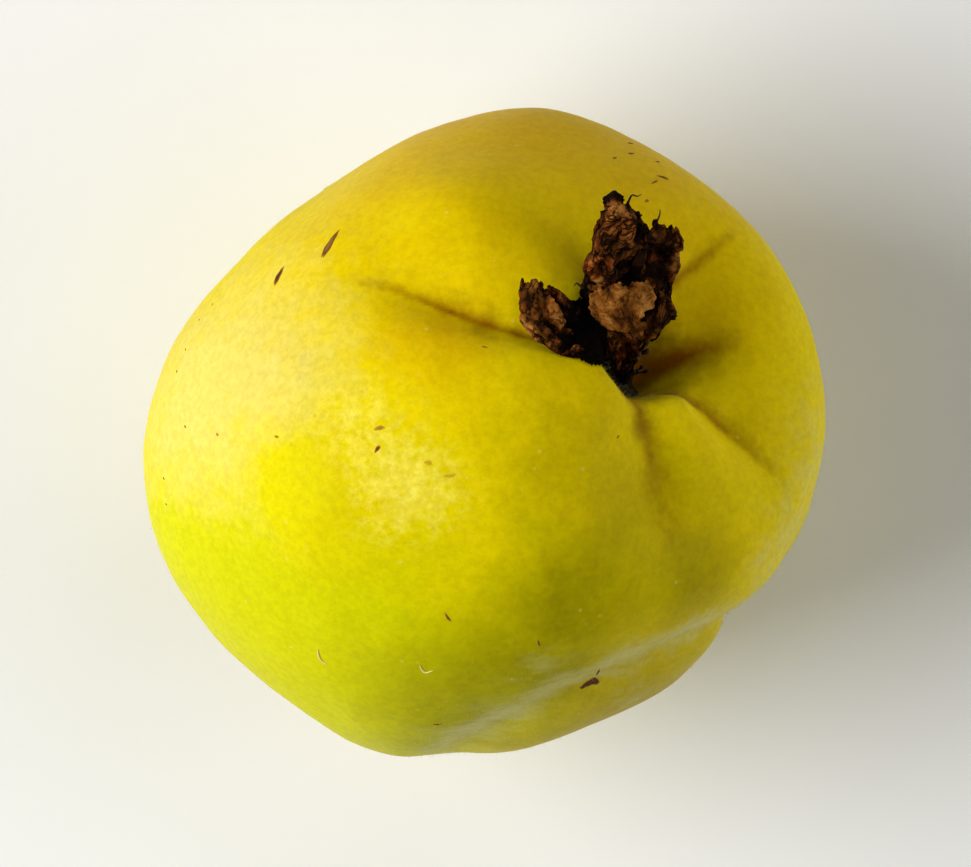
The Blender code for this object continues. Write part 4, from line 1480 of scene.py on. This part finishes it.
# Threads of the flower that have been carried out on to the sepals, as points in mm from the
# middle of the basin floor, as the fruit lies.
STRAY_THREADS = (
    ((1.6, 17.4, 13.0), (2.0, 18.2, 13.4), (2.6, 18.1, 13.6), (3.0, 18.3, 13.7)),
    ((4.4, 15.0, 12.2), (4.9, 16.0, 12.3), (5.0, 16.7, 12.4)),
    ((-3.2, 8.4, 15.4), (-3.8, 8.9, 15.8), (-4.1, 8.6, 16.0)),
    ((-0.4, -1.2, 9.2), (0.2, -2.2, 9.4), (1.2, -2.6, 9.2), (2.2, -2.4, 9.0)),
)
STRAY_STEPS = 14
STRAY_SIDES = 6


def make_stray_threads(material):
    heap = Heap()
    steps = np.linspace(0.0, 1.0, STRAY_STEPS)
    dusty = tube_values(steps, STRAY_SIDES, 0.2, 1.0) * 0.5
    for line in STRAY_THREADS:
        line = curve(line, steps) * MM + CALYX
        points, faces = tube(line, (0.13 - 0.08 * steps) * MM, STRAY_SIDES)
        heap.add(points, faces, dusty=dusty)
    heap.piece("stray_threads", material, "dried_stamen")


# ---------------------------------------------------------------- the stalk
STUB_RADIUS = 2.9 * MM
STUB_LENGTH = 5.4 * MM
STUB_RAGGED = 1.1 * MM
STUB_HOLLOW = 0.15
# The stub's radius as a share of STUB_RADIUS, and how far down that is as a share of its length.
STUB_PROFILE = ((0.7, 0.0), (1.0, 0.16), (0.92, 0.5), (0.97, 0.93))
# Rings of torn wood across the break: share of the radius, and how far it sinks into the hollow.
BREAK_RINGS = ((0.86, 0.0), (0.66, 0.5), (0.45, 0.75), (0.22, 0.95))
STUB_AROUND = 140
BARK_RINGS = 40


def make_stub():
    """The broken stalk: bark with lengthwise cracks, and splintered wood at the break."""
    turn = np.linspace(0.0, 2.0 * math.pi, STUB_AROUND, endpoint=False)
    base = flesh_point(np.array(math.pi), np.array(0.0))[2] - PIECE_GAP - MESH_SLACK
    ragged = STUB_RAGGED * np.cos(3 * turn + 0.7) ** 2
    round_axis = raised(ring_points(1.0, turn, 0.0), 0.0)
    splinter = noises(round_axis * 7.0) + 0.6 * noises(round_axis * 19.0)
    shares, heights = zip(*STUB_PROFILE)
    rings = []
    ridges = []
    torn = []
    for down in np.linspace(0.0, 0.96, BARK_RINGS):
        crack = noises(round_axis * 6.0 + (0.0, 0.0, down * 1.6))
        knots = noises(round_axis * 2.0 + (0.0, 0.0, down * 5.0))
        radius = np.interp(down, heights, shares) * STUB_RADIUS * (1.0 + 0.09 * crack + 0.06 * knots)
        height = base - down * STUB_LENGTH - (ragged + 0.5 * MM * splinter) * down**3
        rings.append(raised(ring_points(radius, turn, 0.0), height))
        ridges.append(0.4 + 0.9 * crack)
        torn.append(np.full(STUB_AROUND, smooth_step(0.85, 0.97, down)))
    for share, sunk in BREAK_RINGS:
        fibres = noises(round_axis * 8.0 * share + (0.0, 0.0, 3.0))
        height = base - STUB_LENGTH * (1.0 - STUB_HOLLOW * sunk)
        height = height - (ragged + 0.6 * MM * splinter) * (1.0 - sunk)
        height = np.minimum(height + 0.35 * MM * fibres, base - 0.4 * STUB_LENGTH)
        rings.append(raised(ring_points(share * STUB_RADIUS, turn, 0.0), height))
        ridges.append(0.3 + 0.9 * fibres)
        torn.append(np.ones(STUB_AROUND))
    first = np.array([(0.0, 0.0, base)])
    last = np.array([(0.0, 0.0, base - (1.0 - STUB_HOLLOW) * STUB_LENGTH)])
    points = to_table(np.concatenate((first, *rings, last)))
    shades = {
        "ridge": np.concatenate(([0.3], *ridges, [0.3])),
        "torn": np.concatenate(([0.0], *torn, [1.0])),
    }
    faces = ball_faces(len(rings), STUB_AROUND)
    make_piece("broken_stalk", points, faces, woody_stalk(), ("stem_stub",), shades)


# ---------------------------------------------------------------- the down
# Where down is left: how many hairs there are, how long and how thick they are in mm, and how
# dusty. They stand round the basin, in the stalk cavity, and on the fold and the open skin.
HAIRS = (
    (800, (0.3, 0.7), 0.011, 0.2),
    (3800, (0.7, 1.5), 0.024, 0.25),
    (2200, (0.25, 0.5), 0.013, 0.1),
)
HAIR_SIDES = 3
# How deep in the skin a hair's root and its first ring are, and how much hairs lean about.
HAIR_ROOT = 0.08 * MM
HAIR_BASE = 0.05 * MM
HAIR_LEAN = 0.45
# How far off the middle of the basin and off the axis the down is thickest, and its spread. Then
# how far out it is thin inside the basin, and the polar angle from which the knob has none.
RIM_DOWN = (7.0 * MM, 1.8 * MM)
CAVITY_DOWN = (8.5 * MM, 3.5 * MM)
PIT_DOWN_ENDS = 6.0 * MM
STALK_BARE = 2.9
CLEAR_OF_TABLE = 2.5 * MM
DOWN_RINGS = 120
DOWN_AROUND = 240


def down_densities(polar, azimuth, faces, height):
    """How densely down stands on each face of a grid, in the order of HAIRS."""
    at_polar = polar[faces].mean(axis=1)
    flesh = flesh_point(polar, azimuth)[faces].mean(axis=1)
    lying = unit(direction_across(at_polar, np.arctan2(flesh[:, 1], flesh[:, 0])) @ axis_frame().T)
    off_pit = np.linalg.norm(flesh[:, :2] - np.array(PIT_CENTRE), axis=1)
    off_axis = np.linalg.norm(flesh[:, :2], axis=1)
    calyx_side = at_polar < math.pi / 2
    far = (flesh[:, 0] - PIT_CENTRE[0]) / np.maximum(off_pit, 0.1 * MM)
    near = np.clip(0.5 - 0.5 * far, 0.05, 1.0)
    rim = calyx_side * near * bump((off_pit - RIM_DOWN[0]) / RIM_DOWN[1])
    pit = calyx_side * near * (off_pit < PIT_DOWN_ENDS) * 0.4
    cavity = ~calyx_side * bump((off_axis - CAVITY_DOWN[0]) / CAVITY_DOWN[1])
    fold = (0.5 * fold_at(lying) + 0.012) * (at_polar < STALK_BARE)
    return rim + pit, cavity * (height > CLEAR_OF_TABLE), fold * (height > 2.0 * CLEAR_OF_TABLE)


def grow_down(rng, material):
    """Short curved hairs, each a three-sided tube that leans and bends its own way."""
    polar, azimuth = angle_grid(DOWN_RINGS, DOWN_AROUND)
    faces = np.array([face for face in ball_faces(DOWN_RINGS, DOWN_AROUND) if len(face) == 4])
    corners = skin_point(polar, azimuth)[faces]
    crossed = np.cross(corners[:, 2] - corners[:, 0], corners[:, 3] - corners[:, 1])
    area = np.linalg.norm(crossed, axis=1) / 2
    densities = down_densities(polar, azimuth, faces, corners[:, :, 2].mean(axis=1))
    heap = Heap()
    hair_faces = ball_faces(2, HAIR_SIDES)
    turn = 2.0 * math.pi * np.arange(HAIR_SIDES) / HAIR_SIDES
    for density, (count, lengths, thick, dusty) in zip(densities, HAIRS):
        chance = area * density
        chosen = rng.choice(len(faces), size=count, p=chance / chance.sum())
        mix = rng.dirichlet((1.0, 1.0, 1.0, 1.0), size=count)[:, :, None]
        roots = (corners[chosen] * mix).sum(axis=1)
        first, second, _, last = corners[chosen].transpose(1, 0, 2)
        normal = unit(np.cross(second - first, last - first))
        lean = rng.normal(0.0, HAIR_LEAN, (count, 3))
        length = rng.uniform(*lengths, size=(count, 1)) * MM
        middle = roots + unit(normal + 0.6 * lean) * length * 0.5
        tip = middle + unit(normal + 1.7 * lean) * length * 0.5
        aside = unit(np.cross(normal, lean))
        shade = rng.uniform(dusty - 0.15, dusty + 0.35, count)
        ring = rings_round(aside, np.cross(normal, aside), turn) * thick * MM
        base = (roots - normal * HAIR_BASE)[:, None] + ring
        bend = middle[:, None] + 0.7 * ring
        shapes = (roots - normal * HAIR_ROOT)[:, None], base, bend, tip[:, None]
        for shape, dust in zip(np.concatenate(shapes, axis=1), shade):
            heap.add(shape, hair_faces, dusty=dust)
    heap.piece("quince_down", material, "skin")


# ---------------------------------------------------------------- table, light and camera
# How wide the camera sees, and its lens and sensor in mm.
FIELD_WIDTH = 103.5 * MM
LENS = 1000.0
SENSOR = 36.0
TABLE_REACH = 3.0
ROOM_LIGHT = 0.10
# Lamps: name, bearing and elevation in degrees, how far off and how large in metres, and watts.
LAMPS = (
    ("window", 183, 36, 0.9, (0.7, 0.7), 10.6),
    ("second_window", 55, 52, 0.9, (0.6, 0.6), 0.8),
    ("white_card", -5, 22, 0.8, (0.5, 0.4), 2.1),
)


def hang_lamp(name, bearing, elevation, distance, size, power):
    light = bpy.data.lights.new(name, "AREA")
    light.shape = "RECTANGLE"
    light.size, light.size_y = size
    light.energy = power
    made = bpy.data.objects.new(name, light)
    made.visible_camera = False
    bpy.context.scene.collection.objects.link(made)
    away = Vector(direction(bearing, elevation))
    made.location = MIDDLE + away * distance
    made.rotation_mode = "QUATERNION"
    made.rotation_quaternion = away.to_track_quat("Z", "Y")


def lay_table():
    reach = TABLE_REACH
    mesh = bpy.data.meshes.new("table")
    corners = [(-reach, -reach, 0.0), (reach, -reach, 0.0), (reach, reach, 0.0), (-reach, reach, 0.0)]
    mesh.from_pydata(corners, [], [(0, 1, 2, 3)])
    mesh.materials.append(table_top())
    table = bpy.data.objects.new("table", mesh)
    bpy.context.scene.collection.objects.link(table)


def light_room():
    for lamp in LAMPS:
        hang_lamp(*lamp)
    world = bpy.data.worlds.new("studio")
    world.use_nodes = True
    background = world.node_tree.nodes["Background"]
    give(world.node_tree, background, {"Color": linear("#FFFFFF"), "Strength": ROOM_LIGHT})
    bpy.context.scene.world = world
    bpy.context.scene.view_settings.view_transform = "Standard"


def set_camera():
    """A long lens far above the fruit, so that it is seen almost without perspective."""
    camera = bpy.data.cameras.new("above")
    camera.lens = LENS
    camera.sensor_width = SENSOR
    camera.clip_start = 0.05
    camera.clip_end = 20.0
    above = bpy.data.objects.new("above", camera)
    above.location = MIDDLE + Vector((0.0, 0.0, FIELD_WIDTH * LENS / SENSOR))
    bpy.context.scene.collection.objects.link(above)
    bpy.context.scene.camera = above


# Where the core lies, the middle of the basin's floor, and the middle of the fruit.
CORE = find_core()
CALYX = to_table(raised(np.array([PIT_CENTRE]), skin_height(np.array([PIT_CENTRE]))))[0]
MIDDLE = (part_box("fruit_body")[0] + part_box("fruit_body")[1]) / 2

make_skin()
make_marks()
down = quince_down()
make_nicks(down)
leaf = dried_calyx()
make_sepals(leaf)
make_scraps(leaf)
make_collar(leaf)
make_disc()
threads = dried_threads()
make_stamens(np.random.default_rng(5), threads)
make_styles(threads)
make_stray_threads(threads)
make_stub()
grow_down(np.random.default_rng(11), down)
lay_table()
light_room()
set_camera()
